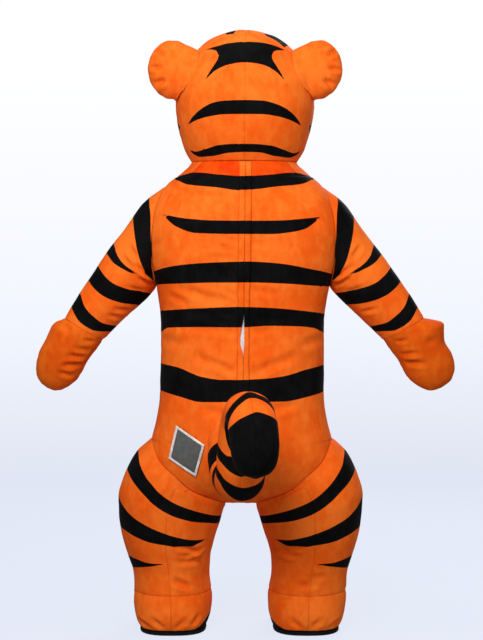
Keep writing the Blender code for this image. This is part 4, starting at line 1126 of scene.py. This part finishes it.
def meshMaterial():
    # woven vent mesh: a fine grid of threads, with slow paler patches
    material, tree, shader = newMaterial("vent_mesh_weave")
    place = nodeOf(tree, "ShaderNodeTexCoord").outputs["UV"]
    grid = nodeOf(tree, "ShaderNodeTexChecker")
    grid.inputs["Scale"].default_value = 60.0
    tree.links.new(place, grid.inputs["Vector"])
    patches = nodeOf(tree, "ShaderNodeTexNoise")
    patches.inputs["Scale"].default_value = 7.0
    tree.links.new(place, patches.inputs["Vector"])
    threads = colorMix(tree, grid.outputs["Fac"], (0.045, 0.048, 0.045, 1), (0.125, 0.130, 0.124, 1))
    pale = mapRange(tree, patches.outputs["Fac"], 0.35, 0.7, 0.0, 0.5)
    color = colorMix(tree, pale, threads, (0.13, 0.135, 0.13, 1))
    tree.links.new(color, shader.inputs["Base Color"])
    shader.inputs["Roughness"].default_value = 0.45
    node = nodeOf(tree, "ShaderNodeBump")
    node.inputs["Strength"].default_value = 0.4
    node.inputs["Distance"].default_value = 0.0005
    tree.links.new(grid.outputs["Fac"], node.inputs["Height"])
    tree.links.new(node.outputs[0], shader.inputs["Normal"])
    return material


orangePlush = plushMaterial("orange_black_plush", plushLook["light"], plushLook["deep"])
# painted shade: the mittens get a darker copy of the orange plush, standing in for the shade at the arms'
# ends
mittenShadedPlush = plushMaterial("mitten_painted_shade_plush", (0.80, 0.132, 0.006, 1), (0.70, 0.080, 0.002, 1))
# deeper orange-red for the yoke: partly the nap lying another way, partly painted shade under the head
yokeNapAndShadePlush = plushMaterial("yoke_nap_and_painted_shade_plush", (0.92, 0.090, 0.003, 1), (0.80, 0.045, 0.001, 1))
whitePlush = plushMaterial("muzzle_plush", (0.86, 0.84, 0.80, 1), (0.74, 0.71, 0.66, 1), striped=False)
tapeCloth = plainMaterial("zip_tape_cloth", (0.66, 0.64, 0.64, 1), (0.86, 0.84, 0.84, 1), 260.0, 0.7, 0.3)
bindingSatin = plainMaterial("binding_satin", (0.62, 0.52, 0.47, 1), (0.95, 0.88, 0.86, 1), 160.0, 0.32, 0.3)
soleRubber = plainMaterial("sole_rubber", (0.0025, 0.0025, 0.0028, 1), (0.006, 0.006, 0.0065, 1), 120.0, 0.80,
                           0.5, specular=0.12)
noseSatin = plainMaterial("nose_satin", (0.006, 0.006, 0.007, 1), (0.016, 0.015, 0.016, 1), 90.0, 0.35, 0.25)
eyeFelt = plainMaterial("eye_felt", (0.005, 0.005, 0.006, 1), (0.012, 0.012, 0.013, 1), 200.0, 0.25, 0.15)
ventMesh = meshMaterial()
print("materials made")

# A cut piece fills this share of the rectangle it comes from; no strip is narrower than the second figure.
cutForm = {"share": 0.82, "narrowest": 0.012}


def cutOf(node):
    # the piece as cut flat, measured on its solid wall: half of its two faces, and the rectangle round them
    solid = bmesh.new()
    solid.from_mesh(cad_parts[node].data)
    area = sum(face.calc_area() for face in solid.faces) / 2
    corners = np.array([v.co[:] for v in solid.verts])
    solid.free()
    length = round(float(np.ptp(corners, axis=0).max()), 2)
    width = round(max(area / length / cutForm["share"], cutForm["narrowest"]), 3)
    return width, length, round(min(area, width * length), 4)


# How far creases, slow waves and seam puckers move the cloth, and how near a seam they fade or start.
drape = {
    "crease": 2.2, "wave": 0.9, "pucker": 0.0016, "calm": 0.02, "least": 0.25,
    "puckerReach": 0.018, "puckerStart": 0.004, "puckerLeast": 0.3, "dipReach": 0.0055,
}


def makeCloth(node, grids, material, slot, thickness, depthOf=plainDepth, relief=1.0, dip=0.0009, hole=None):
    # grids: lists of (columns, rows, form); welded where they meet, then given creases and a wall
    bm = bmesh.new()
    wrapLayer = bm.verts.layers.float.new("wrapKeep")
    uvLayer = bm.loops.layers.uv.new("cut")
    for us, vs, panel in grids:
        made = bmesh.ops.create_grid(bm, x_segments=len(us) - 1, y_segments=len(vs) - 1, size=0.5)["verts"]
        column = np.array([round((v.co.x + 0.5) * (len(us) - 1)) for v in made])
        row = np.array([round((v.co.y + 0.5) * (len(vs) - 1)) for v in made])
        u, v = np.array(us)[column], np.array(vs)[row]
        points, wrap = panel(u, v)
        place = {vert: (a, b) for vert, a, b in zip(made, u, v)}
        for face in {f for vert in made for f in vert.link_faces}:
            for loop in face.loops:
                loop[uvLayer].uv = place[loop.vert]
        for vert, p, w in zip(made, points, wrap):
            vert.co = p
            vert[wrapLayer] = w
    bmesh.ops.remove_doubles(bm, verts=bm.verts, dist=4e-5)
    bmesh.ops.dissolve_degenerate(bm, dist=1e-5, edges=bm.edges)
    if hole:
        inside = [f for f in bm.faces if hole(f.calc_center_median())]
        bmesh.ops.delete(bm, geom=inside, context="FACES")
    bmesh.ops.recalc_face_normals(bm, faces=bm.faces)
    middle = sum((v.co for v in bm.verts), Vector()) / len(bm.verts)
    if sum((f.calc_center_median() - middle).dot(f.normal) * f.calc_area() for f in bm.faces) < 0:
        bmesh.ops.reverse_faces(bm, faces=bm.faces)
    bm.normal_update()
    bm.verts.ensure_lookup_table()
    before = np.array([v.co[:] for v in bm.verts])
    normals = np.array([v.normal[:] for v in bm.verts])
    wrap = np.array([v[wrapLayer] for v in bm.verts])
    stripe = depthOf(before, wrap)
    rim = [v for v in bm.verts if v.is_boundary]
    tree = kdtree.KDTree(max(len(rim), 1))
    for k, v in enumerate(rim):
        tree.insert(v.co, k)
    tree.balance()
    seam = np.array([tree.find(v.co)[2] if rim else 1.0 for v in bm.verts])
    points = placed(before)
    moved = 0 * seam
    if relief:
        pucker = np.array([noise.noise(Vector(p) * 60.0) for p in points])
        moved = reliefAt(points) * relief * drape["crease"] + undulation(points, relief * drape["wave"])
        moved *= drape["least"] + (1 - drape["least"]) * ease(seam / drape["calm"])
        near = np.exp(-(seam / drape["puckerReach"]) ** 2)
        least = drape["puckerLeast"]
        moved += drape["pucker"] * pucker * near * (least + (1 - least) * ease(seam / drape["puckerStart"]))
        moved -= dip * np.exp(-(seam / drape["dipReach"]) ** 2)
    points = points + normals * moved[:, None]
    for v, p in zip(bm.verts, points):
        v.co = p
    bm.verts.layers.float.remove(wrapLayer)
    mesh = bpy.data.meshes.new(node)
    bm.to_mesh(mesh)
    bm.free()
    for name, values in (("stripe", stripe), ("seam", seam)):
        layer = mesh.attributes.new(name, "FLOAT", "POINT")
        layer.data.foreach_set("value", np.asarray(values, dtype=np.float32))
    mesh.shade_smooth()
    mesh.materials.append(material)
    piece = bpy.data.objects.new("cloth_" + node, mesh)
    bpy.context.scene.collection.objects.link(piece)
    wall = piece.modifiers.new("wall", "SOLIDIFY")
    wall.thickness = thickness
    wall.offset = -1.0
    wall.use_even_offset = False
    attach(piece, "root")
    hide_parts(node)
    width, length, area = cutOf(node)
    return piece


def ventHole(point):
    # inside the vent's window, a little short of its edge
    corners = [np.array(c) for c in ventForm["corners"]]
    middle = sum(corners) / 4
    p = np.array([point.x, point.z])
    if point.y > 0:
        return False
    signs = []
    for a, b in zip(corners, corners[1:] + corners[:1]):
        edge = b - a
        inward = np.array([-edge[1], edge[0]])
        inward = inward * (1 if inward @ (middle - a) > 0 else -1) / np.linalg.norm(edge)
        signs.append(inward @ (p - a) > 0.004)
    return all(signs)


rowShare = list(np.linspace(0, 1, len(bodyRows)))
halfPi = math.pi / 2
sides = ((-1, "left"), (1, "right"))
plush = form["plush"]


def evenly(count):
    return list(np.linspace(0, 1, count))


def sewPlush(node, grids, depthOf=plainDepth, material=orangePlush, thickness=plush, **finish):
    makeCloth(node, grids, material, "orange_black_plush", thickness, depthOf, **finish)


for side, name in sides:
    sewPlush("back_" + name, [(steps(98), rowShare, bodyPanel(side, True))], stripesOn(bodyStripes),
             hole=ventHole if side < 0 else None)
    sewPlush("sleeve_" + name, [(evenly(121), steps(86), sleevePanel(side))], sleeveDepth)
    for part, front in (("back", 0), ("palm", 1)):
        sewPlush("mitten_%s_%s" % (name, part), [(steps(60), steps(54), mittenPanel(side, front))],
                 material=mittenShadedPlush)
    for part, start in (("outer", -0.5), ("inner", 0.5)):
        sewPlush("leg_%s_%s" % (name, part), [(steps(76), steps(90), legPanel(side, start))],
                 stripesOn(legStripes, True))
        sewPlush("foot_%s_%s" % (name, part), [(steps(78), steps(34), footPanel(side, start))],
                 footDepth(side))
    sewPlush("head_back_" + name, [(steps(74), steps(110), headPanel(side, 0.0, halfPi))], headDepth)
    sewPlush("neck_back_" + name, [(steps(36), steps(10), neckPanel(side, 0))], stripesOn(bodyStripes),
             yokeNapAndShadePlush)
    for part, front in (("back", 0), ("front", 1)):
        sewPlush("ear_%s_%s" % (name, part), [(steps(40), steps(26), earPanel(side, front))])
    sewPlush("placket_" + name, [(evenly(6), evenly(150), flapPanel(side))], stripesOn(bodyStripes),
             thickness=flapForm["cloth"], relief=0.35, dip=0.0006)
    print(name, "side sewn")
sewPlush("front", [(steps(50), rowShare, bodyPanel(side, False)) for side, _ in sides],
         stripesOn(bodyStripes))
sewPlush("head_front", [(steps(42), steps(66), headPanel(side, halfPi, math.pi)) for side, _ in sides],
         headDepth)
sewPlush("neck_front", [(steps(60), steps(10), neckPanel(side, 1)) for side, _ in sides],
         stripesOn(bodyStripes))
for name, half in (("right", 0), ("left", 1)):
    sewPlush("tail_" + name, [(steps(34), steps(170), tailPanel(half))], givenDepth, relief=0.6)
makeCloth("zip_tape", [(evenly(6), evenly(120), tapeStrip)], tapeCloth, "white_tape", 0.0015, relief=0.0)
makeCloth("vent_mesh", [(evenly(13), evenly(13), ventPanel)], ventMesh, "grey_mesh", 0.0010, relief=0.0)
makeCloth("vent_binding", [(evenly(97), evenly(5), bindingPanel)], bindingSatin, "silver_binding", 0.0011,
          relief=0.0)
muzzleForm = {"z0": 1.655, "halfX": 0.105, "halfZ": 0.066, "reach": 0.085, "cleft": 0.012}
makeCloth("muzzle", [(evenly(65), steps(22), domePanel(0.0, **muzzleForm))], whitePlush, "white_plush", plush,
          relief=0.3, dip=0.001)
eyeOut = 0.075
eyeForm = {"z0": 1.775, "halfX": 0.030, "halfZ": 0.042, "reach": 0.018}
for side, name in sides:
    makeCloth("eye_" + name, [(evenly(33), steps(10), domePanel(side * eyeOut, **eyeForm))], eyeFelt,
              "black_eye", plush, relief=0.0)
print("cloth sewn")

# The padded nose, and the soles that keep their own solids.
noseForm = {"height": 0.024, "seat": 0.016, "lean": 0.45, "spread": 0.25}
low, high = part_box("nose")
low.y -= noseForm["seat"]
bm = bmesh.new()
bmesh.ops.create_uvsphere(bm, u_segments=32, v_segments=18, radius=1.0)
bmesh.ops.scale(bm, vec=[(b - a) / 2 for a, b in zip(low, high)], verts=bm.verts)
for v in bm.verts:
    v.co.x *= 1 + noseForm["spread"] * v.co.z / noseForm["height"]
    v.co.y -= noseForm["lean"] * v.co.z
bmesh.ops.translate(bm, vec=[(a + b) / 2 for a, b in zip(low, high)], verts=bm.verts)
noseMesh = bpy.data.meshes.new("nose")
bm.to_mesh(noseMesh)
bm.free()
noseMesh.shade_smooth()
noseMesh.materials.append(noseSatin)
nose = bpy.data.objects.new("padded_nose", noseMesh)
bpy.context.scene.collection.objects.link(nose)
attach(nose, "root")
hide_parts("nose")
for _, name in sides:
    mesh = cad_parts["sole_" + name].data
    for k in range(max(len(mesh.materials), 1)):
        if len(mesh.materials):
            mesh.materials[k] = soleRubber
        else:
            mesh.materials.append(soleRubber)
print("nose and soles done")
